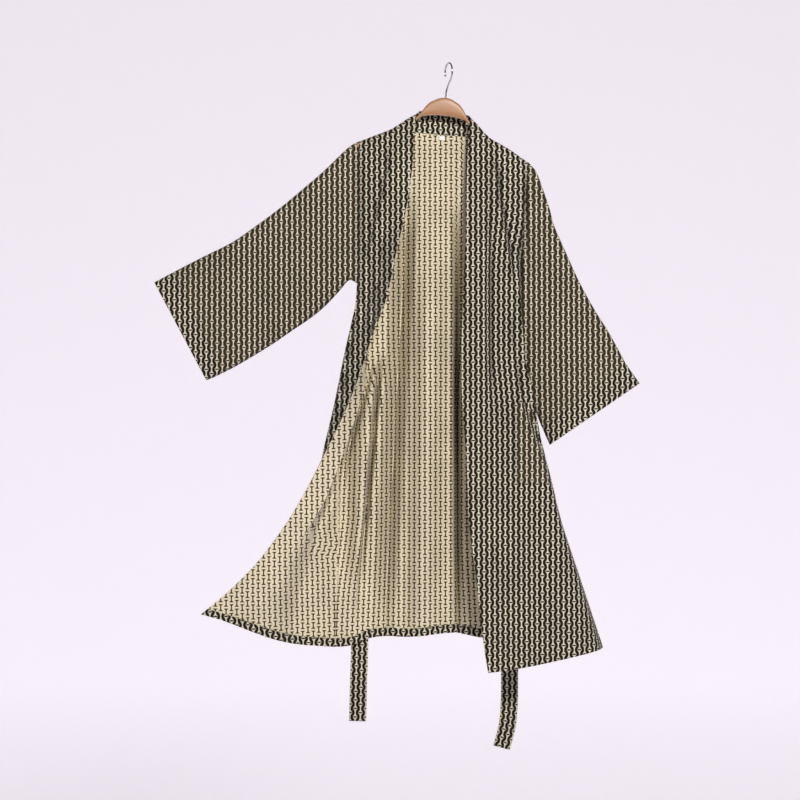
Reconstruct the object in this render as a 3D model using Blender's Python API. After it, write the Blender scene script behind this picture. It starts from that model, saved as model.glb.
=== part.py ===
# A kimono robe on a wooden hanger, hung from the hanger's hook. Run it in Blender 4.5.
import math
from collections import namedtuple

import bmesh
import bpy
import numpy as np

# Sizes are in millimetres. Across is to the right of the hook's centre, drop is below the inside
# top of the hook, and depth is behind the hook. Left and right are as the viewer sees them.
MM = 0.001

# The outline's sizes are read on the hook's plane by someone who stands here, so a point in front
# of that plane or behind it is moved along the line of sight.
SIGHT_DISTANCE = 6000.0
SIGHT_ACROSS = -112.0
SIGHT_DROP = 773.0

CLOTH_WALL = 1.5
BAND_WALL = 2.5
BELT_WALL = 2.0
SEAM_GAP = 0.3
BELT_WIDTH = 40.0
BELT_SLACK = 1.3

# Wooden hanger. Its sizes are in its own frame, from the top of the wood, along the level arm.
HANGER_ACROSS = -7.0
HANGER_DROP = 78.0
HANGER_TILT = math.radians(5.9)
SHOULDER_SLOPE = 0.505
SHOULDER_START = 112.5
SHOULDER_START_DROP = 82.3
LEFT_SHOULDER = (-189.0, -112.5)
RIGHT_SHOULDER = (206.0, 108.0)
Section = namedtuple("Section", "along top bottom thick")
HANGER_SECTIONS = (
    Section(0, 0.0, 41.5, 12),
    Section(10, 1.2, 41.5, 12),
    Section(19, 4.6, 42.3, 12),
    Section(34, 13.4, 44.0, 12),
    Section(42, 22.0, 45.5, 12),
    Section(48, 31.0, 48.0, 12),
    Section(52, 40.0, 54.0, 12),
    Section(58, 55.0, 68.0, 11),
    Section(68, 69.0, 82.0, 11),
    Section(82, 77.0, 91.0, 11),
    Section(112.5, 84.8, 100.0, 11),
    Section(150, 103.7, 118.0, 11),
    Section(188, 122.9, 135.0, 10),
    Section(193, 127.5, 136.0, 8),
    Section(196, 132.0, 135.5, 5),
)

# Steel hook: a stem, then an arc that goes over the rod from front to back.
HOOK_WIRE = 3.8
HOOK_INSIDE = 38.0
HOOK_TURN = math.radians(22)
HOOK_START = math.radians(42)
HOOK_END = math.radians(292)

# Lines that run down the garment: its edges, seams and folds.
Row = namedtuple("Row", "drop across depth")

LEFT_SIDE = (
    Row(179, -207.5, 0), Row(345, -208, 0), Row(506, -208, 0), Row(552, -209, 3),
    Row(646, -222, 8), Row(773, -243, 16), Row(899, -254, 26), Row(1003, -252, 38),
    Row(1104, -252, 47), Row(1233, -258, 53), Row(1341, -263, 56),
)
LEFT_FOLD = (
    Row(167, -175, -22), Row(313, -190, -24), Row(405, -198, -24), Row(506, -209, -20),
    Row(552, -213, -22), Row(633, -232, -30), Row(711, -248, -36), Row(775, -261, -40),
    Row(864, -282, -42), Row(909, -292, -40), Row(1003, -299, -30), Row(1095, -306, -22),
    Row(1210, -342, -14), Row(1331, -372, -8),
)
LEFT_SEAM = (
    Row(148.5, -127.5, -14), Row(159, -130, -15), Row(228, -133, -20), Row(317, -144, -26),
    Row(379, -149, -30), Row(437, -155, -36), Row(481, -160, -44), Row(534, -169, -55),
    Row(591, -177, -70), Row(635, -183, -80), Row(683, -189, -87), Row(734, -194, -93),
    Row(848, -227, -104), Row(920, -252, -108), Row(1014, -290, -106), Row(1104, -347, -100),
    Row(1210, -429, -90), Row(1279, -523, -82),
)
LEFT_EDGE = (
    Row(130, -76, -6), Row(143, -78, -11), Row(159, -80, -15), Row(229, -83, -20),
    Row(317, -95, -29), Row(379, -108, -50), Row(438, -123, -70), Row(482, -131, -80),
    Row(535, -144, -95), Row(591, -161, -114), Row(635, -184, -127), Row(684, -194, -133),
    Row(726, -210, -135), Row(806, -242, -136), Row(875, -275, -132), Row(982, -329, -114),
    Row(1065, -379, -102), Row(1138, -434, -93), Row(1194, -485, -87), Row(1238, -537, -83),
    Row(1266, -570, -80),
)
RIGHT_SIDE = (
    Row(228, 184.5, 0), Row(273, 179, 0), Row(382, 173, 0), Row(439, 167, 0), Row(541, 162, 0),
    Row(577, 151, 3), Row(635, 146, 4), Row(692, 150, 4), Row(773, 164, 4), Row(842, 188, 6),
    Row(908, 216, 12), Row(991, 239, 16), Row(1063, 262, 20), Row(1203, 309, 24),
    Row(1341, 355, 28),
)
RIGHT_FOLD = (
    Row(199, 146, -24), Row(313, 151, -28), Row(439, 155, -32), Row(515, 164, -36),
    Row(573, 167, -40), Row(630, 171, -42), Row(678, 175, -44), Row(741, 190, -46),
    Row(842, 208, -46), Row(892, 218, -44), Row(936, 230, -40), Row(991, 242, -36),
    Row(1063, 258, -30), Row(1203, 300, -26), Row(1346, 338, -24),
)
RIGHT_SEAM = (
    Row(169, 92, -14), Row(180, 92, -17), Row(264, 91, -20), Row(382, 86, -24),
    Row(515, 83, -28), Row(667, 83, -34), Row(773, 85, -40), Row(957, 95, -50),
    Row(1141, 107, -58), Row(1235, 118, -64), Row(1341, 130, -70), Row(1396, 135, -72),
)
RIGHT_EDGE = (
    Row(143, 46, -8), Row(168, 45, -16), Row(229, 43, -21), Row(299, 41, -26),
    Row(379, 40, -28), Row(458, 36, -30), Row(553, 33, -33), Row(681, 29, -39),
    Row(768, 31, -45), Row(945, 43, -53), Row(1063, 47, -59), Row(1141, 58, -63),
    Row(1210, 66, -67), Row(1281, 74, -71), Row(1333, 80, -74), Row(1401, 91, -76),
)
BACK_CENTRE = (
    Row(164, 0, 27), Row(313, 0, 30), Row(506, 0, 36), Row(646, 0, 44), Row(773, 0, 52),
    Row(899, 0, 62), Row(1104, 0, 76), Row(1320, 0, 88),
)
BACK_HEM = (
    Row(1341, -263, 0), Row(1338, -226, 0), Row(1322, -188, 0), Row(1316, -144, 0),
    Row(1318, -82, 0), Row(1311, -26, 0), Row(1308, 17, 0), Row(1316, 56, 0),
    Row(1329, 141, 0), Row(1339, 256, 0), Row(1341, 355, 0),
)

# The collar band round the neck, from the left shoulder seam to the right one. Crown is how far
# its middle rises where it goes over the hanger.
NeckRow = namedtuple(
    "NeckRow", "seam_across seam_drop seam_depth edge_across edge_drop edge_depth crown")
NECK = (
    NeckRow(-127.5, 148.5, 0, -76, 130, -6, 5),
    NeckRow(-114, 147, 12, -71, 117, 2, 6),
    NeckRow(-95, 151, 20, -67, 110, 12, 3),
    NeckRow(-79, 156, 24, -60, 108, 24, 0),
    NeckRow(-45, 161, 27, -40, 110, 33, 0),
    NeckRow(-18, 164, 28, -17, 112, 35, 0),
    NeckRow(12, 166, 28, 10, 115, 35, 0),
    NeckRow(43, 168, 26, 35, 116, 27, 0),
    NeckRow(65, 164, 21, 46, 120, 11, 3),
    NeckRow(80, 162, 12, 49, 128, 0, 6),
    NeckRow(92, 169, 0, 46, 143, -8, 5),
)

# Folds hung into a panel. Depth is how far the fold goes back, or forward where it is negative.
# A deep fold of the back has its middle on one of the mesh's columns.
Fold = namedtuple(
    "Fold", "top hem top_across hem_across depth left right fade_in fade_out column")
BACK_FOLDS = (
    Fold(760, 1300, -172, -216, -44, 30, 14, 140, 200, 4),
    Fold(330, 1420, -88, -122, 26, 30, 26, 160, 10, 10),
    Fold(300, 1420, 16, 14, 36, 22, 18, 180, 10, 16),
    Fold(600, 1420, 120, 150, -16, 36, 36, 200, 10, 0),
    Fold(800, 1420, 200, 262, 12, 34, 34, 200, 10, 0),
)
# The back's columns start to run along its folds at one drop and do so fully at another.
COLUMNS_START = 330
COLUMNS_END = 760
LEFT_FRONT_FOLDS = (
    Fold(170, 520, -132, -199, 9, 11, 11, 60, 90, 0),
    Fold(1010, 1400, -335, -352, 14, 42, 42, 120, 40, 0),
)
RIGHT_FRONT_FOLDS = (
    Fold(250, 900, 98, 96, 9, 10, 14, 160, 160, 0),
    Fold(205, 560, 104, 150, 7, 12, 12, 50, 160, 0),
    Fold(880, 1440, 190, 236, 8, 40, 40, 160, 10, 0),
)

# Rows of the mesh down the garment, as fractions from the shoulder to the hem. The first ones
# round the cloth over the hanger, and the one at UNDERARM is where the sleeves end.
UNDERARM = 0.281
LEVELS = (
    [0.0, 0.0026, 0.0086, 0.0216, 0.043]
    + [0.043 + (UNDERARM - 0.043) * step / 6 for step in range(1, 7)]
    + [UNDERARM + (1 - UNDERARM) * step / 15 for step in range(1, 16)]
)
UNDERARM_ROW = 10
FRONT_COLUMNS = 8
NECK_COLUMNS = 12
ROLL_HEIGHT = 60.0
ARMHOLE_DEPTH = 14.0

# Rings down each sleeve: its upper edge, its lower edge, and how deep the tube is there.
Ring = namedtuple("Ring", "top_across top_drop low_across low_drop centre half_depth")
LEFT_SLEEVE = (
    Ring(-228, 191, -229, 497, 0, 16),
    Ring(-252, 213, -252, 522, 0, 17),
    Ring(-286, 246, -284, 556, -1, 18),
    Ring(-330, 284, -318, 584, -2, 18),
    Ring(-384, 329, -362, 614, -3, 18),
    Ring(-440, 371, -410, 647, -3, 18),
    Ring(-500, 412, -456, 675, -4, 18),
    Ring(-562, 443, -494, 697, -4, 18),
)
LEFT_CUFF = (
    Ring(-634, 480, -521, 711, -4, 19),
    Ring(-656, 492, -540, 720, -4, 19),
    Ring(-677, 503, -558, 727, -4, 20),
)
RIGHT_SLEEVE = (
    Ring(201, 249, 167, 558, 1, 15),
    Ring(215, 285, 165, 588, 3, 15),
    Ring(231, 332, 166, 620, 5, 15),
    Ring(243, 375, 169, 656, 7, 15),
    Ring(268, 432, 175, 698, 8, 16),
    Ring(299, 500, 186, 745, 8, 16),
    Ring(334, 564, 197, 786, 8, 17),
    Ring(370, 622, 208, 818, 8, 17),
)
RIGHT_CUFF = (
    Ring(407, 690, 217, 840, 8, 18),
    Ring(423, 713, 225, 858, 8, 18),
    Ring(439, 735, 233, 876, 8, 19),
)

# Patch pocket on the right front, from its inner edge to the side.
POCKET_TOP = 779.0
POCKET_BOTTOM = 965.0
POCKET_TOP_ACROSS = (149.0, 184.0)
POCKET_BOTTOM_ACROSS = (155.0, 228.0)
POCKET_COLUMN = 3
POCKET_SLACK = 0.5

# Belt: its centre line, from the left end up, across the back and down to the right end.
WAIST_DROP = 641.0
BELT_ON_BACK = 1300.0
LEFT_LOOP_ACROSS = -172.0
RIGHT_LOOP_ACROSS = 112.0
LEFT_STRAND = (
    Row(1523, -211, 92), Row(1440, -209, 91), Row(1340, -206, 88), Row(1180, -206, 80),
    Row(1000, -206, 66), Row(860, -206, 52), Row(760, -206, 44), Row(700, -206, 41),
    Row(668, -204, 40), Row(648, -194, 40),
)
BACK_STRETCH = (
    Row(641, -150, 56), Row(642, -110, 73), Row(643, -50, 77), Row(643, 14, 80),
    Row(643, 44, 71), Row(642, 80, 48),
)
RIGHT_STRAND = (
    Row(647, 130, 26), Row(666, 143, 22), Row(700, 146, 24), Row(760, 146, 32),
    Row(860, 146, 48), Row(1000, 146, 64), Row(1180, 146, 78), Row(1330, 145, 88),
    Row(1420, 144, 92), Row(1485, 143, 93), Row(1535, 138, 93), Row(1585, 125, 92),
)
LOOP_REACH = 2.0
LOOP_WIDTH = 8.0
LOOP_WALL = 1.2
LOOP_SLACK = 1.0

LABEL_ACROSS = (-22.0, -9.0)
LABEL_DROP = (167.5, 175.5)
LABEL_WALL = 0.6

COLOURS = {
    "cloth": (0.20, 0.18, 0.14, 1),
    "label": (0.85, 0.83, 0.80, 1),
    "wood": (0.55, 0.28, 0.13, 1),
    "steel": (0.70, 0.70, 0.72, 1),
}
ROUGHNESS = {"cloth": 0.85, "label": 0.7, "wood": 0.45, "steel": 0.2}
METALLIC = {"cloth": 0.0, "label": 0.0, "wood": 0.0, "steel": 1.0}


def clear_scene():
    for thing in list(bpy.data.objects):
        bpy.data.objects.remove(thing)


def make_material(node, kind):
    material = bpy.data.materials.new(node)
    material.use_nodes = True
    shader = material.node_tree.nodes["Principled BSDF"]
    shader.inputs["Base Color"].default_value = COLOURS[kind]
    shader.inputs["Roughness"].default_value = ROUGHNESS[kind]
    shader.inputs["Metallic"].default_value = METALLIC[kind]
    return material


def unit(vectors):
    return vectors / np.linalg.norm(vectors, axis=-1, keepdims=True)


def smooth_through(stations, values, wanted):
    # A cubic curve that goes through the value at each station.
    stations = np.asarray(stations, float)
    values = np.asarray(values, float)
    slopes = np.gradient(values, stations, axis=0)
    start = int(np.clip(np.searchsorted(stations, wanted) - 1, 0, len(stations) - 2))
    span = stations[start + 1] - stations[start]
    t = (wanted - stations[start]) / span
    return (
        (2 * t**3 - 3 * t**2 + 1) * values[start]
        + (t**3 - 2 * t**2 + t) * span * slopes[start]
        + (3 * t**2 - 2 * t**3) * values[start + 1]
        + (t**3 - t**2) * span * slopes[start + 1]
    )


def line_at(rows, drop):
    # Across, drop and depth of a line at one drop.
    drops = [row.drop for row in rows]
    across, depth = smooth_through(drops, [(row.across, row.depth) for row in rows], drop)
    return np.array([across, drop, depth])


def to_space(points):
    # Across, drop and depth to millimetres in X, Y and Z, moved along the line of sight.
    points = np.asarray(points, float)
    scale = 1 + points[..., 2] / SIGHT_DISTANCE
    across = SIGHT_ACROSS + (points[..., 0] - SIGHT_ACROSS) * scale
    drop = SIGHT_DROP + (points[..., 1] - SIGHT_DROP) * scale
    return np.stack([across, points[..., 2], -drop], axis=-1)


def roll(distance):
    # How far the cloth has come forward or back, this far below the shoulder line.
    reach = np.clip(1 - np.asarray(distance, float) / ROLL_HEIGHT, 0, 1)
    return (1 - reach**4) ** 0.25


def shoulder_point(along):
    # A point of the cloth over the hanger's arm, in across, drop and depth.
    height = -(SHOULDER_START_DROP + (abs(along) - SHOULDER_START) * SHOULDER_SLOPE)
    across = HANGER_ACROSS + along * math.cos(HANGER_TILT) + height * math.sin(HANGER_TILT)
    level = -HANGER_DROP - along * math.sin(HANGER_TILT) + height * math.cos(HANGER_TILT)
    return np.array([across, -level, 0.0])


def fold_depth(folds, across, drop):
    total = 0.0
    for fold in folds:
        middle = fold_middle(fold, drop)
        width = fold.left if across < middle else fold.right
        distance = min(abs(across - middle) / (1.6 * width), 1.0)
        fade_in = np.clip((drop - fold.top) / fold.fade_in, 0, 1)
        fade_out = np.clip((fold.hem - drop) / fold.fade_out, 0, 1)
        fade = min(fade_in, fade_out)
        total += fold.depth * math.cos(distance * math.pi / 2) ** 2 * fade * fade * (3 - 2 * fade)
    return total


def armhole_reach(fraction, distance):
    # The armhole's half depth, at a fraction of the way from the shoulder to the underarm.
    if fraction < 0.5:
        return float(roll(distance))
    return math.sqrt(max(0.0, 1 - (2 * fraction - 1) ** 2))


def side_point(side, level, sign):
    # The side edge of a front (sign -1) or the back (sign 1).
    top = side[0].drop
    hem = side[-1].drop
    drop = top + (hem - top) * level
    point = line_at(side, drop)
    if level < UNDERARM - 1e-6:
        reach = armhole_reach(level / UNDERARM, drop - top)
        point[2] = sign * ARMHOLE_DEPTH * reach
    elif level < UNDERARM + 1e-6:
        point[2] = 0.0
    return point


def front_panel(side, fold, seam, shoulder, folds, fold_column, hem_sag):
    # Rows from the shoulder to the hem, columns from the side to the collar band's seam.
    grid = np.zeros((len(LEVELS), FRONT_COLUMNS + 1, 3))
    ends = [shoulder_point(along) for along in shoulder]
    top_drops = [ends[0][1], fold[0].drop, ends[1][1]]
    for row, level in enumerate(LEVELS):
        side_place = side_point(side, level, -1)
        fold_place = line_at(fold, fold[0].drop + (fold[-1].drop - fold[0].drop) * level)
        seam_place = line_at(seam, seam[0].drop + (seam[-1].drop - seam[0].drop) * level)
        for column in range(FRONT_COLUMNS + 1):
            u = column / FRONT_COLUMNS
            if row == 0:
                grid[row, column] = ends[0] + (ends[1] - ends[0]) * u
                continue
            stations = [0.0, fold_column, 1.0]
            place = smooth_through(stations, [side_place, fold_place, seam_place], u)
            top = smooth_through(stations, top_drops, u)
            shape = roll(place[1] - top) if column > 0 else 1.0
            inside = min(1.0, u / 0.2)
            place[2] = place[2] * shape + fold_depth(folds, place[0], place[1]) * shape * inside
            place[1] += hem_sag * 4 * u * (1 - u) * level**2
            grid[row, column] = place
    return grid


def neck_curve(count):
    # Cross lines of the band round the neck: seam and edge points and the crown.
    stations = range(len(NECK))
    table = [smooth_through(stations, NECK, t) for t in np.linspace(0, len(NECK) - 1, count)]
    return np.array(table)


def fold_middle(fold, drop):
    way = np.clip((drop - fold.top) / (fold.hem - fold.top), 0, 1)
    return fold.top_across + (fold.hem_across - fold.top_across) * way


def column_places(left, right, count, drop):
    # Across places of the back's columns at one drop. Low down they run along its deep folds.
    columns = [0]
    places = [left]
    for fold in BACK_FOLDS:
        if fold.column:
            middle = fold_middle(fold, drop)
            columns += [fold.column - 1, fold.column, fold.column + 1]
            places += [middle - fold.left * 0.7, middle, middle + fold.right * 0.7]
    columns.append(count - 1)
    places.append(right)
    along_folds = np.interp(range(count), columns, places)
    low = np.clip((drop - COLUMNS_START) / (COLUMNS_END - COLUMNS_START), 0, 1)
    low = low * low * (3 - 2 * low)
    return np.linspace(left, right, count) * (1 - low) + along_folds * low


def back_panel(neck):
    # Rows from the shoulders and the neck to the hem, columns from the left side to the right.
    left_ends = [shoulder_point(along) for along in LEFT_SHOULDER]
    right_ends = [shoulder_point(along) for along in RIGHT_SHOULDER]
    left_top = [
        left_ends[0] + (left_ends[1] - left_ends[0]) * column / FRONT_COLUMNS
        for column in range(FRONT_COLUMNS)
    ]
    right_top = [
        right_ends[1] + (right_ends[0] - right_ends[1]) * column / FRONT_COLUMNS
        for column in range(1, FRONT_COLUMNS + 1)
    ]
    neck_top = [cross[:3] for cross in neck]
    neck_top[0] = left_ends[1]
    neck_top[-1] = right_ends[1]
    top = np.array(left_top + neck_top + right_top)
    count = len(top)
    hem_across = [row.across for row in BACK_HEM]
    hem_drop = [row.drop for row in BACK_HEM]
    hem_places = column_places(hem_across[0], hem_across[-1], count, BACK_HEM[0].drop)
    grid = np.zeros((len(LEVELS), count, 3))
    for row, level in enumerate(LEVELS):
        left = side_point(LEFT_SIDE, level, 1)
        right = side_point(RIGHT_SIDE, level, 1)
        blend = min(1.0, level / 0.5)
        blend = blend * blend * (3 - 2 * blend)
        places = column_places(left[0], right[0], count, (left[1] + right[1]) / 2)
        for column in range(count):
            top_share = (top[column, 0] - top[0, 0]) / (top[-1, 0] - top[0, 0])
            share = (places[column] - left[0]) / (right[0] - left[0])
            share = top_share * (1 - blend) + share * blend
            across = left[0] + (right[0] - left[0]) * share
            last_drop = smooth_through(hem_across, hem_drop, hem_places[column])
            drop = top[column, 1] + (last_drop - top[column, 1]) * level
            centre = line_at(BACK_CENTRE, max(drop, BACK_CENTRE[0].drop))[2]
            sides = left[2] + (right[2] - left[2]) * share
            rise = 1 - abs(2 * share - 1) ** 3.2
            depth = sides + (centre - (left[2] + right[2]) / 2) * rise
            inside = min(1.0, share / 0.08, (1 - share) / 0.08)
            depth += fold_depth(BACK_FOLDS, across, drop) * inside
            shape = roll(drop - top[column, 1])
            if 0 < column < count - 1:
                depth = top[column, 2] + (depth - top[column, 2]) * shape
            grid[row, column] = (across, drop, depth)
        if row == 0:
            grid[row] = top
    return grid


def band_cross(seam_point, edge_point, crown):
    # Three points across the band, with its middle raised.
    middle = (seam_point + edge_point) / 2
    middle[1] -= crown
    return np.array([seam_point, middle, edge_point])


def collar_panel(left_front, right_front, neck):
    # Rows from the left hem up, round the neck and down to the right hem, from seam to edge.
    rows = []
    for row in range(len(LEVELS) - 1, -1, -1):
        rows.append(front_cross(LEFT_EDGE, left_front, row))
    for cross in neck[1:-1]:
        rows.append(band_cross(cross[:3].copy(), cross[3:6].copy(), cross[6]))
    for row in range(len(LEVELS)):
        rows.append(front_cross(RIGHT_EDGE, right_front, row))
    return np.array(rows)


def front_cross(edge, panel, row):
    level = LEVELS[row]
    place = line_at(edge, edge[0].drop + (edge[-1].drop - edge[0].drop) * level)
    crown = NECK[0].crown * max(0.0, 1 - level / 0.03)
    return band_cross(panel[row, -1].copy(), place, crown)


def sleeve_rings(side, rings, first_count):
    # Rings of points from the armhole to the cuff. Each starts at the upper edge, goes down the
    # front to the lower edge and comes up the back.
    top = side[0].drop
    low = top + (side[-1].drop - top) * UNDERARM
    fractions = [level / UNDERARM for level in LEVELS[: UNDERARM_ROW + 1]]
    first = []
    for level in LEVELS[: UNDERARM_ROW + 1]:
        first.append(side_point(side, level, -1))
    for level in reversed(LEVELS[1:UNDERARM_ROW]):
        first.append(side_point(side, level, 1))
    result = [np.array(first)] if first_count else []
    for ring in rings:
        points = []
        turns = [(share, -1) for share in fractions]
        turns += [(share, 1) for share in reversed(fractions[1:-1])]
        for share, sign in turns:
            reach = armhole_reach(share, share * (low - top))
            points.append((
                ring.top_across + (ring.low_across - ring.top_across) * share,
                ring.top_drop + (ring.low_drop - ring.top_drop) * share,
                ring.centre + sign * ring.half_depth * reach,
            ))
        result.append(np.array(points))
    result = np.array(result)
    if first_count:
        result[0, 0, 2] = 0.0
    return result


def grid_normals(points, sign, ring=False):
    # Unit normals of a grid of points, where each row may be a closed ring.
    down = np.gradient(points, axis=0)
    if ring:
        along = np.roll(points, -1, axis=1) - np.roll(points, 1, axis=1)
    else:
        along = np.gradient(points, axis=1)
    return unit(sign * np.cross(along, down))


def push_in(points, normals, cells, neighbours):
    # Move each edge point half a seam gap towards its neighbour, along the cloth.
    for cell, neighbour in zip(cells, neighbours):
        way = points[neighbour] - points[cell]
        way = way - normals[cell] * np.dot(way, normals[cell])
        points[cell] = points[cell] + way / np.linalg.norm(way) * SEAM_GAP / 2


def add_wall(name, points, normals, thick, ring=False, kind="cloth"):
    # A closed wall of cloth on both sides of a grid of points.
    rows, columns = points.shape[:2]
    outer = points + normals * thick / 2
    inner = points - normals * thick / 2
    verts = np.concatenate([outer.reshape(-1, 3), inner.reshape(-1, 3)]) * MM
    other = rows * columns
    last = columns if ring else columns - 1
    faces = []
    for row in range(rows - 1):
        for column in range(last):
            after = (column + 1) % columns
            corners = [
                row * columns + column,
                row * columns + after,
                (row + 1) * columns + after,
                (row + 1) * columns + column,
            ]
            faces.append(corners)
            faces.append([corner + other for corner in reversed(corners)])
    for column in range(last):
        after = (column + 1) % columns
        for row in (0, rows - 1):
            a = row * columns + column
            b = row * columns + after
            faces.append([a, a + other, b + other, b] if row == 0 else [a, b, b + other, a + other])
    if not ring:
        for row in range(rows - 1):
            for column in (0, columns - 1):
                a = row * columns + column
                b = (row + 1) * columns + column
                if column == 0:
                    faces.append([a, b, b + other, a + other])
                else:
                    faces.append([a, a + other, b + other, b])
    return add_mesh(name, verts, faces, kind)


def add_mesh(name, verts, faces, kind):
    mesh = bpy.data.meshes.new(name)
    mesh.from_pydata([tuple(vert) for vert in verts], [], faces)
    work = bmesh.new()
    work.from_mesh(mesh)
    bmesh.ops.recalc_face_normals(work, faces=work.faces)
    bmesh.ops.triangulate(work, faces=work.faces)
    work.to_mesh(mesh)
    work.free()
    mesh.shade_smooth()
    mesh.set_sharp_from_angle(angle=math.radians(40))
    thing = bpy.data.objects.new(name, mesh)
    bpy.context.scene.collection.objects.link(thing)
    thing.data.materials.append(make_material(name, kind))
    return thing


def ring_normals(ring_points):
    # Normals of the armhole's ring that lie in its own plane.
    along = np.roll(ring_points, -1, axis=0) - np.roll(ring_points, 1, axis=0)
    flat = np.stack([np.zeros(len(along)), along[:, 2], -along[:, 1]], axis=-1)
    normals = unit(flat)
    centre = ring_points.mean(axis=0)
    outward = np.sum((ring_points - centre) * normals, axis=-1)
    return normals * np.where(outward < 0, -1, 1)[:, None]


def lean_at_underarm(normals, lean):
    # Tip the normals near the underarm, where the sleeve and the side meet.
    count = len(normals)
    for index in range(count):
        steps = abs(index - UNDERARM_ROW)
        share = max(0.0, 1 - steps / 2)
        normals[index, 0] += lean * share
    return unit(normals)


def build_body():
    # The grids of all body panels and sleeves, in space, with shared normals at their seams.
    neck = neck_curve(NECK_COLUMNS + 1)
    left = front_panel(LEFT_SIDE, LEFT_FOLD, LEFT_SEAM, LEFT_SHOULDER, LEFT_FRONT_FOLDS, 0.42, 0)
    right = front_panel(
        RIGHT_SIDE, RIGHT_FOLD, RIGHT_SEAM, RIGHT_SHOULDER, RIGHT_FRONT_FOLDS, 0.3, 6)
    back = back_panel(neck)
    collar = collar_panel(left, right, neck)
    sleeves = {
        "left_sleeve": np.concatenate(
            [sleeve_rings(LEFT_SIDE, LEFT_SLEEVE, 1), sleeve_rings(LEFT_SIDE, LEFT_CUFF[:1], 0)]),
        "right_sleeve": np.concatenate(
            [sleeve_rings(RIGHT_SIDE, RIGHT_SLEEVE, 1), sleeve_rings(RIGHT_SIDE, RIGHT_CUFF[:1], 0)]),
        "left_cuff": sleeve_rings(LEFT_SIDE, LEFT_CUFF, 0),
        "right_cuff": sleeve_rings(RIGHT_SIDE, RIGHT_CUFF, 0),
    }
    grids = {"left_front": left, "right_front": right, "back": back, "collar_band": collar}
    grids.update(sleeves)
    grids = {name: to_space(grid) for name, grid in grids.items()}
    signs = {
        "left_front": -1, "right_front": 1, "back": 1, "collar_band": 1,
        "left_sleeve": -1, "right_sleeve": 1, "left_cuff": -1, "right_cuff": 1,
    }
    normals = {}
    for name, grid in grids.items():
        closed = "sleeve" in name or "cuff" in name
        normals[name] = grid_normals(grid, signs[name], closed)
    share_seams(grids, normals)
    open_seams(grids, normals)
    return grids, normals


def share(normals, first, first_cells, second, second_cells):
    # Give both sides of a seam the mean of their normals.
    for one, two in zip(first_cells, second_cells):
        mean = unit(normals[first][one] + normals[second][two])
        normals[first][one] = mean
        normals[second][two] = mean


def share_seams(grids, normals):
    rows = len(LEVELS)
    last_row = rows - 1
    below = range(UNDERARM_ROW + 1, rows)
    last_back = grids["back"].shape[1] - 1
    neck_start = FRONT_COLUMNS
    neck_end = last_back - FRONT_COLUMNS
    share(normals, "left_front", [(row, 0) for row in below], "back", [(row, 0) for row in below])
    share(normals, "right_front", [(row, 0) for row in below],
          "back", [(row, last_back) for row in below])
    columns = range(FRONT_COLUMNS)
    share(normals, "left_front", [(0, column) for column in columns],
          "back", [(0, column) for column in columns])
    share(normals, "right_front", [(0, column) for column in columns],
          "back", [(0, last_back - column) for column in columns])
    share(normals, "left_front", [(row, FRONT_COLUMNS) for row in range(1, rows)],
          "collar_band", [(last_row - row, 0) for row in range(1, rows)])
    right_start = last_row + NECK_COLUMNS
    share(normals, "right_front", [(row, FRONT_COLUMNS) for row in range(1, rows)],
          "collar_band", [(right_start + row, 0) for row in range(1, rows)])
    neck_cells = range(1, NECK_COLUMNS)
    share(normals, "back", [(0, neck_start + cell) for cell in neck_cells],
          "collar_band", [(last_row + cell, 0) for cell in neck_cells])
    # Where a shoulder seam meets the band, three pieces share one normal.
    for front, back_column, band_row in (
        ("left_front", neck_start, last_row), ("right_front", neck_end, right_start)):
        mean = unit(
            normals[front][0, FRONT_COLUMNS] + normals["back"][0, back_column]
            + normals["collar_band"][band_row, 0])
        normals[front][0, FRONT_COLUMNS] = mean
        normals["back"][0, back_column] = mean
        normals["collar_band"][band_row, 0] = mean
    for sleeve, front, back_column, lean in (
        ("left_sleeve", "left_front", 0, -0.9), ("right_sleeve", "right_front", last_back, 0.0)):
        ring = lean_at_underarm(ring_normals(grids[sleeve][0]), lean)
        normals[sleeve][0] = ring
        count = len(ring)
        for row in range(UNDERARM_ROW + 1):
            normals[front][row, 0] = ring[row]
            normals["back"][row, back_column] = ring[(count - row) % count]
    for sleeve, cuff in (("left_sleeve", "left_cuff"), ("right_sleeve", "right_cuff")):
        columns = range(grids[cuff].shape[1])
        share(normals, sleeve, [(-1, column) for column in columns],
              cuff, [(0, column) for column in columns])


def open_seams(grids, normals):
    rows = len(LEVELS)
    last_back = grids["back"].shape[1] - 1
    for front in ("left_front", "right_front"):
        grid, normal = grids[front], normals[front]
        push_in(grid, normal, [(row, 0) for row in range(rows)], [(row, 1) for row in range(rows)])
        push_in(grid, normal, [(row, FRONT_COLUMNS) for row in range(rows)],
                [(row, FRONT_COLUMNS - 1) for row in range(rows)])
        push_in(grid, normal, [(0, column) for column in range(FRONT_COLUMNS + 1)],
                [(1, column) for column in range(FRONT_COLUMNS + 1)])
    grid, normal = grids["back"], normals["back"]
    push_in(grid, normal, [(row, 0) for row in range(rows)], [(row, 1) for row in range(rows)])
    push_in(grid, normal, [(row, last_back) for row in range(rows)],
            [(row, last_back - 1) for row in range(rows)])
    push_in(grid, normal, [(0, column) for column in range(last_back + 1)],
            [(1, column) for column in range(last_back + 1)])
    grid, normal = grids["collar_band"], normals["collar_band"]
    cells = range(grid.shape[0])
    push_in(grid, normal, [(row, 0) for row in cells], [(row, 1) for row in cells])
    for name in ("left_sleeve", "right_sleeve", "left_cuff", "right_cuff"):
        grid, normal = grids[name], normals[name]
        cells = range(grid.shape[1])
        push_in(grid, normal, [(0, cell) for cell in cells], [(1, cell) for cell in cells])
        if "sleeve" in name:
            push_in(grid, normal, [(-1, cell) for cell in cells], [(-2, cell) for cell in cells])


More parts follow.
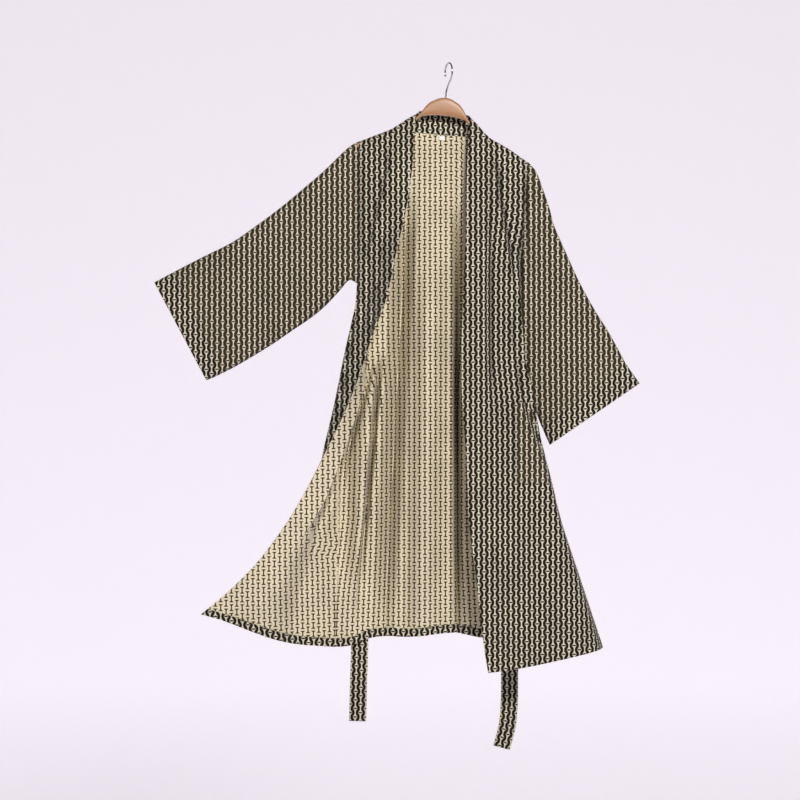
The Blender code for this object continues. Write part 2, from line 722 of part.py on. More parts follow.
def on_grid(grid, row, column):
    # A value between the grid's points, at a fractional row and column.
    row_start = int(min(max(row, 0), grid.shape[0] - 2))
    column_start = int(min(max(column, 0), grid.shape[1] - 2))
    a = row - row_start
    b = column - column_start
    upper = grid[row_start, column_start] * (1 - b) + grid[row_start, column_start + 1] * b
    lower = grid[row_start + 1, column_start] * (1 - b) + grid[row_start + 1, column_start + 1] * b
    return upper * (1 - a) + lower * a


def find_on_panel(grid, across, height, first_column=0):
    # The fractional row and column where a panel passes this place, seen from the front.
    rows = np.arange(grid.shape[0])
    columns = np.arange(first_column, grid.shape[1])
    column = (first_column + grid.shape[1] - 1) / 2
    for _ in range(12):
        start = int(min(column, grid.shape[1] - 2))
        part = column - start
        heights = grid[:, start, 2] * (1 - part) + grid[:, start + 1, 2] * part
        row = float(np.interp(-height, -heights, rows))
        start = int(min(row, grid.shape[0] - 2))
        part = row - start
        places = grid[start, columns, 0] * (1 - part) + grid[start + 1, columns, 0] * part
        order = np.argsort(places)
        column = float(np.interp(across, places[order], columns[order]))
    return row, column


def seen_at(across, drop, depth):
    place = to_space([across, drop, depth])
    return place[0], place[2]


def build_pocket(grids, normals):
    grid = grids["right_front"]
    normal = normals["right_front"]
    steps_down = 8
    steps_across = 8
    points = np.zeros((steps_down + 1, steps_across + 1, 3))
    leans = np.zeros_like(points)
    lift = CLOTH_WALL + SEAM_GAP + POCKET_SLACK
    for down in range(steps_down + 1):
        t = down / steps_down
        inner = POCKET_TOP_ACROSS[0] + (POCKET_BOTTOM_ACROSS[0] - POCKET_TOP_ACROSS[0]) * t
        outer = POCKET_TOP_ACROSS[1] + (POCKET_BOTTOM_ACROSS[1] - POCKET_TOP_ACROSS[1]) * t
        drop = POCKET_TOP + (POCKET_BOTTOM - POCKET_TOP) * t
        for step in range(steps_across + 1):
            across = outer + (inner - outer) * step / steps_across
            row, column = find_on_panel(grid, *seen_at(across, drop, -45), POCKET_COLUMN)
            leans[down, step] = unit(on_grid(normal, row, column))
            points[down, step] = on_grid(grid, row, column) + leans[down, step] * lift
    add_wall("pocket", points, leans, CLOTH_WALL)


def build_label(grids, normals):
    grid = grids["back"]
    normal = normals["back"]
    points = np.zeros((2, 3, 3))
    leans = np.zeros_like(points)
    lift = CLOTH_WALL / 2 + SEAM_GAP + LABEL_WALL / 2
    for down in range(2):
        for step in range(3):
            across = LABEL_ACROSS[0] + (LABEL_ACROSS[1] - LABEL_ACROSS[0]) * step / 2
            row, column = find_on_panel(grid, *seen_at(across, LABEL_DROP[down], 28))
            leans[down, step] = unit(on_grid(normal, row, column))
            points[down, step] = on_grid(grid, row, column) - leans[down, step] * lift
    add_wall("neck_label", points, leans, LABEL_WALL, kind="label")


def back_surface(grids, across, drop):
    # The back's outer face at this place.
    place = seen_at(across, drop, 45)
    row, column = find_on_panel(grids["back"], *place)
    point = on_grid(grids["back"], row, column)
    return point[1] + CLOTH_WALL / 2


def fullest(grids, across, drop):
    # The fullest point of the back under the belt's width.
    reach = BELT_WIDTH / 2
    return max(
        back_surface(grids, across + side, drop + down)
        for side in (-reach, -reach / 2, 0, reach / 2, reach)
        for down in (-reach, 0, reach)
    )


def build_belt(grids):
    belt_lift = SEAM_GAP + BELT_WALL / 2 + BELT_SLACK
    at_left_loop = fullest(grids, LEFT_LOOP_ACROSS, WAIST_DROP) + belt_lift
    at_right_loop = fullest(grids, RIGHT_LOOP_ACROSS, WAIST_DROP) + belt_lift
    route = [(row.across, row.depth, -row.drop) for row in LEFT_STRAND]
    route.append((LEFT_LOOP_ACROSS, at_left_loop, -WAIST_DROP))
    route += [(row.across, row.depth, -row.drop) for row in BACK_STRETCH]
    route.append((RIGHT_LOOP_ACROSS, at_right_loop, -WAIST_DROP))
    route += [(row.across, row.depth, -row.drop) for row in RIGHT_STRAND]
    route = np.array(route, float)
    lengths = np.concatenate([[0], np.cumsum(np.linalg.norm(np.diff(route, axis=0), axis=1))])
    middle = np.array([smooth_through(lengths, route, way) for way in spread(lengths)])
    for point in middle:
        if -point[2] < BELT_ON_BACK:
            point[1] = max(point[1], fullest(grids, point[0], -point[2]) + belt_lift)
    tangents = unit(np.gradient(middle, axis=0))
    across_way = unit(np.cross(tangents, np.array([0.0, 1.0, 0.0])))
    facing = unit(np.cross(across_way, tangents))
    points = np.stack([middle - across_way * BELT_WIDTH / 2, middle + across_way * BELT_WIDTH / 2], 1)
    add_wall("belt", points, np.stack([facing, facing], 1), BELT_WALL)
    waist = middle[-middle[:, 2] < WAIST_DROP + BELT_WIDTH / 2]
    for name, across in (("left", LEFT_LOOP_ACROSS), ("right", RIGHT_LOOP_ACROSS)):
        sides = (across - LOOP_WIDTH, across, across + LOOP_WIDTH)
        belt_depth = max(np.interp(sides, waist[:, 0], waist[:, 1]))
        build_belt_loop(name + "_belt_loop", across, grids, belt_depth)


def spread(lengths):
    # Places along the belt: close together in its bends, far apart on its straight stretches.
    places = []
    for start, end in zip(lengths[:-1], lengths[1:]):
        count = max(2, int(round((end - start) / 45)))
        places += [start + (end - start) * step / count for step in range(count)]
    return places + [lengths[-1]]


def build_belt_loop(name, across, grids, belt_depth):
    # A strap sewn down above and below the belt, which passes under it.
    over = belt_depth + BELT_WALL / 2 + LOOP_SLACK + LOOP_WALL / 2
    profile = ((-26, 0), (-23, 0), (-21, 1), (0, 1), (21, 1), (23, 0), (26, 0))
    points = np.zeros((len(profile), 2, 3))
    for index, (down, raised) in enumerate(profile):
        for edge in range(2):
            place = across + (edge - 0.5) * LOOP_WIDTH
            floor = max(
                back_surface(grids, place + side, WAIST_DROP + down + step)
                for side in (-LOOP_REACH, 0, LOOP_REACH)
                for step in (-LOOP_REACH, 0, LOOP_REACH)
            )
            depth = over if raised else floor + SEAM_GAP + LOOP_WALL / 2
            points[index, edge] = (place, depth, -(WAIST_DROP + down))
    add_wall(name, points, grid_normals(points, 1), LOOP_WALL)


def hanger_place(along, depth, height):
    across = HANGER_ACROSS + along * math.cos(HANGER_TILT) + height * math.sin(HANGER_TILT)
    level = -HANGER_DROP - along * math.sin(HANGER_TILT) + height * math.cos(HANGER_TILT)
    return across, depth, level


def build_hanger_wood():
    stations = [(-s.along, s) for s in reversed(HANGER_SECTIONS[1:])]
    stations += [(s.along, s) for s in HANGER_SECTIONS]
    verts = []
    for along, section in stations:
        half = section.thick / 2
        bevel = min(half, (section.bottom - section.top) / 2) * 0.62
        outline = (
            (-half + bevel, -section.top), (half - bevel, -section.top),
            (half, -section.top - bevel), (half, -section.bottom + bevel),
            (half - bevel, -section.bottom), (-half + bevel, -section.bottom),
            (-half, -section.bottom + bevel), (-half, -section.top - bevel),
        )
        verts += [np.array(hanger_place(along, depth, height)) * MM for depth, height in outline]
    faces = [list(range(8)), [len(verts) - 8 + corner for corner in reversed(range(8))]]
    for station in range(len(stations) - 1):
        for corner in range(8):
            after = (corner + 1) % 8
            faces.append([
                station * 8 + corner, station * 8 + after,
                (station + 1) * 8 + after, (station + 1) * 8 + corner,
            ])
    add_mesh("hanger_wood", verts, faces, "wood")


def build_hanger_hook():
    # The stem stands on the wood, and the arc's inside top is the part's origin.
    radius = (HOOK_INSIDE + HOOK_WIRE) / 2
    centre = -HOOK_INSIDE / 2
    foot = hanger_place(0, 0, SEAM_GAP)
    neck = hanger_place(0, 0, 13)
    route = [foot, tuple((np.array(foot) + np.array(neck)) / 2), neck]
    steps = 26
    for step in range(steps + 1):
        angle = HOOK_START + (HOOK_END - HOOK_START) * step / steps
        reach = radius * math.sin(angle)
        route.append((
            reach * math.sin(HOOK_TURN),
            -reach * math.cos(HOOK_TURN),
            centre - radius * math.cos(angle),
        ))
    route = np.array(route)
    lengths = np.concatenate([[0], np.cumsum(np.linalg.norm(np.diff(route, axis=0), axis=1))])
    places = np.linspace(0, lengths[-1], 40)
    curve = bpy.data.curves.new("hanger_hook", "CURVE")
    curve.dimensions = "3D"
    curve.bevel_depth = HOOK_WIRE / 2 * MM
    curve.bevel_resolution = 2
    curve.use_fill_caps = True
    spline = curve.splines.new("POLY")
    spline.points.add(len(places) - 1)
    for point, place in zip(spline.points, places):
        point.co = (*(smooth_through(lengths, route, place) * MM), 1)
    thing = bpy.data.objects.new("hanger_hook", curve)
    bpy.context.scene.collection.objects.link(thing)
    curve.materials.append(make_material("hanger_hook", "steel"))


def main():
    clear_scene()
    grids, normals = build_body()
    for name in ("back", "left_front", "right_front"):
        add_wall(name, grids[name], normals[name], CLOTH_WALL)
    add_wall("collar_band", grids["collar_band"], normals["collar_band"], BAND_WALL)
    for name in ("left_sleeve", "right_sleeve", "left_cuff", "right_cuff"):
        add_wall(name, grids[name], normals[name], CLOTH_WALL, ring=True)
    build_pocket(grids, normals)
    build_label(grids, normals)
    build_belt(grids)
    build_hanger_wood()
    build_hanger_hook()


main()
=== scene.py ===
import math

import bmesh
import bpy
import numpy as np
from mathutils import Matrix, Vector
from mathutils.bvhtree import BVHTree


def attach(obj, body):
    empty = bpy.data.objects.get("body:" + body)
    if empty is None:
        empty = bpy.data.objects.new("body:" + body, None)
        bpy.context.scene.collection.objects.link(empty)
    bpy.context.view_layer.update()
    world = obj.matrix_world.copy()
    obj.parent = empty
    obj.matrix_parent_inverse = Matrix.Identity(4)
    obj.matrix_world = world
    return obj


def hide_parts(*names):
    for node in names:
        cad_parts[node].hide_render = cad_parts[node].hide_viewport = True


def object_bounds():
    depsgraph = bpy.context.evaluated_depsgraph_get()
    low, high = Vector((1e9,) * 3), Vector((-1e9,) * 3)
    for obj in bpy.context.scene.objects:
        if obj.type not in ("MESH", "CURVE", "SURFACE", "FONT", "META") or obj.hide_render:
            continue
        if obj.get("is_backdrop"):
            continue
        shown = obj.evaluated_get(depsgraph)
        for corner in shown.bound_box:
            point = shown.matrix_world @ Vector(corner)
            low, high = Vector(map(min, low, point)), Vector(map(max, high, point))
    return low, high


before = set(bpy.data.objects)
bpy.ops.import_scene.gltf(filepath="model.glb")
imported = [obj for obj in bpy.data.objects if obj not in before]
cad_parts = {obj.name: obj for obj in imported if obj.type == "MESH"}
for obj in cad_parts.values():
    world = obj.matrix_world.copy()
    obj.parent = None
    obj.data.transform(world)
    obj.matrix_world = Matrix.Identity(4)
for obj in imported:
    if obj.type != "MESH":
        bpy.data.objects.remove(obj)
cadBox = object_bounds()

# Sizes are millimetres until a mesh is made. Every outline row is (drop, across, depth): drop is
# below the inside top of the hook, across is right of it, depth is behind it.
mm = 0.001
sight = {"distance": 6000.0, "across": -112.0, "drop": 773.0, "fieldWidth": 1840.0}
sewing = {
    "cloth": 1.5, "band": 2.5, "belt": 2.0, "loop": 1.2, "seamDip": 0.9, "seamReach": 2.4,
    "armholeDip": 9.0, "armholeReach": 3.5, "sleeveReach": 11.0, "hemTurnUp": 20.0,
    "stitch": 3.4, "stitchShare": 0.72, "threadWide": 0.55, "threadHigh": 0.35, "lieOn": 0.1,
    "looseBelow": 600.0, "looseFade": 150.0, "bandCreamBelow": 420.0,
}
foldSpread = 1.6  # a fold has died out at this many of its widths
weldDistance = 0.00001


def linearColour(code):
    # An sRGB hex value as linear light.
    parts = [int(code[place:place + 2], 16) / 255 for place in (1, 3, 5)]
    return tuple(p / 12.92 if p <= 0.04045 else ((p + 0.055) / 1.055) ** 2.4 for p in parts) + (1,)


def fillInputs(tree, node, inputs):
    # Each input takes a value, or a link from another node.
    for name, value in inputs.items():
        if isinstance(value, bpy.types.NodeSocket):
            tree.links.new(value, node.inputs[name])
        else:
            node.inputs[name].default_value = value


def addNode(tree, kind, inputs=None, output=0, **settings):
    # Adds a shader node and gives one of its outputs.
    node = tree.nodes.new("ShaderNode" + kind)
    for name, value in settings.items():
        setattr(node, name, value)
    fillInputs(tree, node, inputs or {})
    return node.outputs[output]


def newMaterial(name):
    material = bpy.data.materials.new(name)
    material.use_nodes = True
    return material, material.node_tree, material.node_tree.nodes["Principled BSDF"]


def addObject(name, data, materials=()):
    made = bpy.data.objects.new(name, data)
    bpy.context.scene.collection.objects.link(made)
    for material in materials:
        data.materials.append(material)
    return made


def meshObject(name, work, materials):
    mesh = bpy.data.meshes.new(name)
    work.to_mesh(mesh)
    work.free()
    return addObject(name, mesh, materials)


pieces = {}


def addPiece(name, piece, node=None):
    # Every piece rides on the one body. One that stands for a solid names its node.
    pieces[name] = piece
    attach(piece, "root")
    if node:
        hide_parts(node)


def alongRows(stations, values, wanted):
    # A cubic curve through rows of values that stand at the stations, read at the wanted places.
    stations, values, wanted = (np.asarray(given, float) for given in (stations, values, wanted))
    slopes = np.gradient(values, stations, axis=0)
    start = np.clip(np.searchsorted(stations, wanted) - 1, 0, len(stations) - 2)
    shape = start.shape + (1,) * (values.ndim - 1)
    span = (stations[start + 1] - stations[start]).reshape(shape)
    t = (wanted - stations[start]).reshape(shape) / span
    return (
        (2 * t**3 - 3 * t**2 + 1) * values[start] + (t**3 - 2 * t**2 + t) * span * slopes[start]
        + (3 * t**2 - 2 * t**3) * values[start + 1] + (t**3 - t**2) * span * slopes[start + 1]
    )


def resample(values, places):
    # The same, where the rows are one apart.
    return alongRows(np.arange(len(values)), values, places)


def lineAt(outline, level):
    # Across, drop and depth down an outline, at fractions of its height.
    table = np.array(outline, float)
    drops = table[0, 0] + (table[-1, 0] - table[0, 0]) * np.asarray(level, float)
    found = alongRows(table[:, 0], table[:, 1:], drops)
    return np.stack([found[..., 0], drops, found[..., 1]], axis=-1)


def toSpace(points):
    # Moves each point along the line of sight to its depth, and gives X, Y and Z.
    points = np.asarray(points, float)
    scale = 1 + points[..., 2] / sight["distance"]
    across = sight["across"] + (points[..., 0] - sight["across"]) * scale
    drop = sight["drop"] + (points[..., 1] - sight["drop"]) * scale
    return np.stack([across, points[..., 2], -drop], axis=-1)


def walkedAlong(points, axis=0):
    # The way walked along a line, or along one axis of a grid, from its start.
    steps = np.linalg.norm(np.diff(points, axis=axis), axis=-1)
    return np.insert(np.cumsum(steps, axis=axis), 0, 0, axis=axis)


def evenly(route, count):
    # A smooth line through the route's points, at even steps.
    walked = walkedAlong(route)
    return alongRows(walked, route, np.linspace(0, walked[-1], count))


def unit(vectors):
    return vectors / np.maximum(np.linalg.norm(vectors, axis=-1, keepdims=True), 1e-9)


def smoothStep(value):
    value = np.clip(value, 0, 1)
    return value * value * (3 - 2 * value)


def foldDepth(folds, across, drop):
    # How deep all the folds are at each place. A fold's path is (drop, across) rows.
    total = np.zeros_like(across)
    for fold in folds:
        path = np.array(fold["path"], float)
        middle = np.interp(drop, path[:, 0], path[:, 1])
        width = np.where(across < middle, fold["left"], fold["right"])
        distance = np.minimum(np.abs(across - middle) / (foldSpread * width), 1)
        fadeIn = np.clip((drop - path[0, 0]) / fold["fade"][0], 0, 1)
        fadeOut = np.clip((path[-1, 0] - drop) / fold["fade"][1], 0, 1)
        fade = smoothStep(np.minimum(fadeIn, fadeOut))
        if fold.get("sharp"):
            total += fold["depth"] * (1 - distance) ** fold["sharp"] * fade
        else:
            total += fold["depth"] * np.cos(distance * math.pi / 2) ** 2 * fade
    return total


def places(intervals, steps, edge=()):
    # Fractional row numbers: so many steps in each interval, and closer ones by the two ends.
    found = list(np.linspace(0, intervals, intervals * steps + 1))
    found += list(edge) + [intervals - place for place in edge]
    return np.unique(np.round(found, 4))


hanger = {
    "across": -7.0, "drop": 78.0, "tilt": math.radians(5.9), "slope": 0.505,
    "start": 112.5, "startDrop": 82.3,
    "leftShoulder": (-189.0, -112.5), "rightShoulder": (206.0, 108.0),
}
robe = {
    "underarm": 0.281, "underarmRow": 10, "rollHeight": 60.0, "armholeDepth": 14.0,
    "frontColumns": 8, "neckColumns": 12, "columnsStart": 330, "columnsEnd": 760,
    "foldsClearSide": 0.2, "foldsClearSeam": 0.08, "openFade": 160.0, "seat": 3.2,
    "leftSide": [
        (179, -207.5, 0), (345, -208, 0), (506, -208, 0), (552, -209, 3), (646, -222, 8),
        (773, -243, 16), (899, -254, 26), (1003, -252, 38), (1104, -252, 47), (1233, -258, 53),
        (1341, -263, 56),
    ],
    "rightSide": [
        (228, 184.5, 0), (273, 179, 0), (382, 173, 0), (439, 167, 0), (541, 162, 0), (577, 151, 3),
        (635, 146, 4), (692, 150, 4), (773, 164, 4), (842, 188, 6), (908, 216, 12), (991, 239, 16),
        (1063, 262, 20), (1203, 309, 24), (1341, 355, 28),
    ],
}
leftFront = {
    "foldColumn": 0.42, "hemSag": 0, "openBelow": 1000, "laidOut": 0.15, "laidFrom": 240.0,
    "fold": [
        (167, -175, -22), (313, -190, -24), (405, -198, -24), (506, -209, -20), (552, -213, -22),
        (633, -232, -30), (711, -248, -36), (775, -261, -40), (864, -282, -42), (909, -292, -40),
        (1003, -299, -30), (1095, -306, -22), (1210, -342, -14), (1331, -372, -8),
    ],
    "seam": [
        (148.5, -127.5, -14), (159, -130, -15), (228, -133, -20), (317, -144, -26),
        (379, -149, -30), (437, -155, -36), (481, -160, -44), (534, -169, -55), (591, -177, -70),
        (635, -183, -80), (683, -189, -87), (734, -194, -93), (848, -227, -104), (920, -252, -108),
        (1014, -290, -106), (1104, -347, -100), (1210, -429, -90), (1279, -523, -82),
    ],
    "edge": [
        (130, -76, -6), (143, -78, -11), (159, -80, -15), (229, -83, -20), (317, -95, -29),
        (379, -108, -50), (438, -123, -70), (482, -131, -80), (535, -144, -95), (591, -161, -114),
        (635, -184, -127), (684, -194, -133), (726, -210, -135), (806, -242, -136),
        (875, -275, -132), (982, -329, -114), (1065, -379, -102), (1138, -434, -93),
        (1194, -485, -87), (1238, -537, -83), (1266, -570, -80),
    ],
    "folds": [
        {"path": [(160, -128), (214, -137), (278, -151), (329, -163), (380, -176), (437, -190),
                  (470, -196)], "depth": 13, "left": 5, "right": 5, "fade": (30, 60), "sharp": 1.2},
        {"path": [(430, -180), (520, -178), (566, -192), (640, -204)], "depth": 9,
         "left": 9, "right": 9, "fade": (60, 60)},
        {"path": [(960, -256), (1014, -280), (1082, -312), (1130, -332)], "depth": 22,
         "left": 4, "right": 13, "fade": (40, 90), "sharp": 1.3},
        {"path": [(1010, -335), (1400, -352)], "depth": 12, "left": 34, "right": 34, "fade": (120, 40)},
    ],
}
rightFront = {
    "foldColumn": 0.3, "hemSag": 6, "openBelow": 9000, "laidOut": 0.6, "laidFrom": 240.0,
    "fold": [
        (199, 146, -24), (313, 151, -28), (439, 155, -32), (515, 164, -36), (573, 167, -40),
        (630, 171, -42), (678, 175, -44), (741, 190, -46), (842, 208, -46), (892, 218, -44),
        (936, 230, -40), (991, 242, -36), (1063, 258, -30), (1203, 300, -26), (1346, 338, -24),
    ],
    "seam": [
        (169, 92, -14), (180, 92, -17), (264, 91, -20), (382, 86, -24), (515, 83, -28),
        (667, 83, -34), (773, 85, -40), (957, 95, -50), (1141, 107, -58), (1235, 118, -64),
        (1341, 130, -70), (1396, 135, -72),
    ],
    "edge": [
        (143, 46, -8), (168, 45, -16), (229, 43, -21), (299, 41, -26), (379, 40, -28),
        (458, 36, -30), (553, 33, -33), (681, 29, -39), (768, 31, -45), (945, 43, -53),
        (1063, 47, -59), (1141, 58, -63), (1210, 66, -67), (1281, 74, -71), (1333, 80, -74),
        (1401, 91, -76),
    ],
    "folds": [
        {"path": [(280, 91), (560, 90), (860, 94)], "depth": 16, "left": 6, "right": 7, "fade": (120, 200)},
        {"path": [(200, 104), (264, 112), (327, 121), (400, 134), (458, 145), (540, 152)],
         "depth": 17, "left": 4, "right": 6, "fade": (40, 120), "sharp": 1.2},
        {"path": [(880, 190), (1440, 236)], "depth": 8, "left": 40, "right": 40, "fade": (160, 10)},
    ],
}
back = {
    "laidOut": 0.25,
    "centre": [
        (164, 0, 27), (313, 0, 30), (506, 0, 36), (646, 0, 44), (773, 0, 52), (899, 0, 62),
        (1104, 0, 76), (1320, 0, 88),
    ],
    "hem": [
        (1341, -263, 0), (1338, -226, 0), (1322, -188, 0), (1316, -144, 0), (1318, -82, 0),
        (1311, -26, 0), (1308, 17, 0), (1316, 56, 0), (1329, 141, 0), (1339, 256, 0),
        (1341, 355, 0),
    ],
    # The first three are deep, and the cloth's columns run along them.
    "folds": [
        {"path": [(640, -166), (1300, -222)], "depth": -46, "left": 34, "right": 6,
         "fade": (140, 200), "column": 4},
        {"path": [(250, -92), (1480, -158)], "depth": 66, "left": 20, "right": 17,
         "fade": (240, 460), "column": 10, "sharp": 1.15},
        {"path": [(270, 17), (1480, 21)], "depth": 58, "left": 8, "right": 11,
         "fade": (220, 420), "column": 16, "sharp": 1.3},
        # Dark grooves behind the left front's edge and behind the first fold.
        {"path": [(640, -172), (727, -187), (848, -221), (920, -242), (1060, -262)], "depth": 64,
         "left": 3, "right": 8, "fade": (150, 150), "sharp": 1.2},
        {"path": [(640, -155), (819, -172), (957, -184), (1095, -197), (1240, -212)], "depth": 54,
         "left": 3, "right": 7, "fade": (150, 280), "sharp": 1.2},
        {"path": [(330, -40), (1480, -66)], "depth": -34, "left": 30, "right": 34, "fade": (300, 300)},
        {"path": [(600, 120), (1420, 150)], "depth": -16, "left": 36, "right": 36, "fade": (200, 10)},
        {"path": [(800, 200), (1420, 262)], "depth": 12, "left": 34, "right": 34, "fade": (200, 10)},
    ],
}
# Round the neck: seam across, drop and depth, edge across, drop and depth, and the band's crown.
neckRows = [
    (-127.5, 148.5, 0, -76, 130, -6, 5), (-114, 147, 12, -71, 117, 2, 6),
    (-95, 151, 20, -67, 110, 12, 3), (-79, 156, 24, -60, 108, 24, 0),
    (-45, 161, 27, -40, 110, 33, 0), (-18, 164, 28, -17, 112, 35, 0),
    (12, 166, 28, 10, 115, 35, 0), (43, 168, 26, 35, 116, 27, 0), (65, 164, 21, 46, 120, 11, 3),
    (80, 162, 12, 49, 128, 0, 6), (92, 169, 0, 46, 143, -8, 5),
]
shoulderLevels = [0.0, 0.0026, 0.0086, 0.0216, 0.043]  # close rows where the cloth rolls over the hanger
levels = np.concatenate([
    shoulderLevels, np.linspace(shoulderLevels[-1], robe["underarm"], 7)[1:],
    np.linspace(robe["underarm"], 1, 16)[1:],
])
fineRows = np.concatenate([
    np.linspace(0, 4, 13)[:-1], np.linspace(4, 10, 43)[:-1], np.linspace(10, 25, 121),
])
underarmFine = int(np.argmin(np.abs(fineRows - robe["underarmRow"])))


def finer(grid, columns):
    # The panel's grid at close rows and at the given columns.
    return resample(resample(grid, fineRows).swapaxes(0, 1), columns).swapaxes(0, 1)


def roll(distance):
    # How far the cloth has come round the hanger, this far below the shoulder line.
    reach = np.clip(1 - np.asarray(distance, float) / robe["rollHeight"], 0, 1)
    return (1 - reach**4) ** 0.25


def shoulderPoint(along):
    height = -(hanger["startDrop"] + (abs(along) - hanger["start"]) * hanger["slope"])
    turn = hanger["tilt"]
    across = hanger["across"] + along * math.cos(turn) + height * math.sin(turn)
    return np.array([across, hanger["drop"] + along * math.sin(turn) - height * math.cos(turn), 0.0])


def armholeReach(share, distance):
    # The armhole's half depth, at a share of the way from the shoulder to the underarm.
    low = np.sqrt(np.clip(1 - (2 * share - 1) ** 2, 0, 1))
    return np.where(share < 0.5, roll(distance), low)


def sideLine(outline, sign):
    # The side edge of a front, sign -1, or of the back, sign 1.
    line = lineAt(outline, levels)
    reach = armholeReach(levels / robe["underarm"], line[:, 1] - line[0, 1])
    line[: robe["underarmRow"], 2] = sign * robe["armholeDepth"] * reach[: robe["underarmRow"]]
    line[robe["underarmRow"], 2] = 0
    return line


def frontPanel(side, cut, shoulder):
    # Rows from the shoulder to the hem, columns from the side to the collar band's seam.
    count = robe["frontColumns"]
    lines = [sideLine(side, -1), lineAt(cut["fold"], levels), lineAt(cut["seam"], levels)]
    ends = [shoulderPoint(along) for along in shoulder]
    share = np.arange(count + 1) / count
    stations = [0.0, cut["foldColumn"], 1.0]
    grid = np.stack([alongRows(stations, row, share) for row in np.stack(lines, axis=1)])
    tops = alongRows(stations, [ends[0][1], cut["fold"][0][0], ends[1][1]], share)
    shape = roll(grid[..., 1] - tops)
    shape[:, 0] = 1
    grid[..., 2] *= shape
    grid[..., 1] += cut["hemSag"] * 4 * share * (1 - share) * levels[:, None] ** 2
    grid[0] = ends[0] + (ends[1] - ends[0]) * share[:, None]
    columns = places(count, 11, (0.04, 0.08, 0.14, 0.22))
    fine = finer(grid, columns)
    topFine = resample(tops, columns)
    shapeFine = roll(fine[..., 1] - topFine)
    inside = np.clip(columns / count / robe["foldsClearSide"], 0, 1)
    fine[..., 2] += foldDepth(cut["folds"], fine[..., 0], fine[..., 1]) * shapeFine * inside
    # Low down an opened front comes level with its band before the seam.
    past = np.clip((columns / count - cut["foldColumn"]) / (1 - cut["foldColumn"]), 0, 1)
    lifted = (1 - past) - (1 - past) ** 1.7
    foldPlace = np.array([cut["foldColumn"] * (len(columns) - 1)])
    run = fine[:, -1:, 2] - resample(fine.swapaxes(0, 1), foldPlace)[0, :, 2:]
    opened = smoothStep((fine[..., 1] - cut["openBelow"]) / robe["openFade"])
    fine[..., 2] += run * lifted * opened
    return fine


def backPlaces(left, right, count, drop):
    # Where the back's columns are at one drop. Low down they run along its deep folds.
    columns = [0]
    found = [left]
    for fold in back["folds"]:
        if "column" in fold:
            (top, first), (hem, last) = fold["path"]
            middle = first + (last - first) * np.clip((drop - top) / (hem - top), 0, 1)
            columns += [fold["column"] - 1, fold["column"], fold["column"] + 1]
            found += [middle - fold["left"] * 0.7, middle, middle + fold["right"] * 0.7]
    columns.append(count - 1)
    found.append(right)
    low = smoothStep((drop - robe["columnsStart"]) / (robe["columnsEnd"] - robe["columnsStart"]))
    return np.linspace(left, right, count) * (1 - low) + np.interp(range(count), columns, found) * low


def backPanel(neck):
    # Rows from the shoulders and the neck to the hem, columns from the left side to the right.
    half = robe["frontColumns"]
    leftEnds = [shoulderPoint(along) for along in hanger["leftShoulder"]]
    rightEnds = [shoulderPoint(along) for along in hanger["rightShoulder"]]
    top = [leftEnds[0] + (leftEnds[1] - leftEnds[0]) * column / half for column in range(half)]
    top += [leftEnds[1]] + [cross[:3] for cross in neck[1:-1]] + [rightEnds[1]]
    top += [rightEnds[1] + (rightEnds[0] - rightEnds[1]) * column / half for column in range(1, half + 1)]
    top = np.array(top)
    count = len(top)
    hem = np.array(back["hem"], float)
    centre = np.array(back["centre"], float)
    hemPlaces = backPlaces(hem[0, 1], hem[-1, 1], count, hem[0, 0])
    lastDrops = alongRows(hem[:, 1], hem[:, 0], hemPlaces)
    leftLine = sideLine(robe["leftSide"], 1)
    rightLine = sideLine(robe["rightSide"], 1)
    topShare = (top[:, 0] - top[0, 0]) / (top[-1, 0] - top[0, 0])
    grid = np.zeros((len(levels), count, 3))
    for row, level in enumerate(levels):
        left, right = leftLine[row], rightLine[row]
        blend = smoothStep(level / 0.5)
        found = backPlaces(left[0], right[0], count, (left[1] + right[1]) / 2)
        share = topShare * (1 - blend) + (found - left[0]) / (right[0] - left[0]) * blend
        across = left[0] + (right[0] - left[0]) * share
        drop = top[:, 1] + (lastDrops - top[:, 1]) * level
        middle = alongRows(centre[:, 0], centre[:, 2], np.maximum(drop, centre[0, 0]))
        sides = left[2] + (right[2] - left[2]) * share
        depth = sides + (middle - (left[2] + right[2]) / 2) * (1 - np.abs(2 * share - 1) ** robe["seat"])
        depth = top[:, 2] + (depth - top[:, 2]) * roll(drop - top[:, 1])
        depth[0], depth[-1] = left[2], right[2]
        grid[row] = np.stack([across, drop, depth], axis=-1)
    grid[0] = top
    columns = places(count - 1, 6, (0.04, 0.08, 0.14, 0.22))
    fine = finer(grid, columns)
    topDrops = resample(top[:, 1], columns)
    shares = (fine[..., 0] - fine[:, :1, 0]) / (fine[:, -1:, 0] - fine[:, :1, 0])
    inside = np.clip(np.minimum(shares, 1 - shares) / robe["foldsClearSeam"], 0, 1)
    deep = foldDepth(back["folds"], fine[..., 0], fine[..., 1])
    fine[..., 2] += deep * inside * roll(fine[..., 1] - topDrops)
    return fine


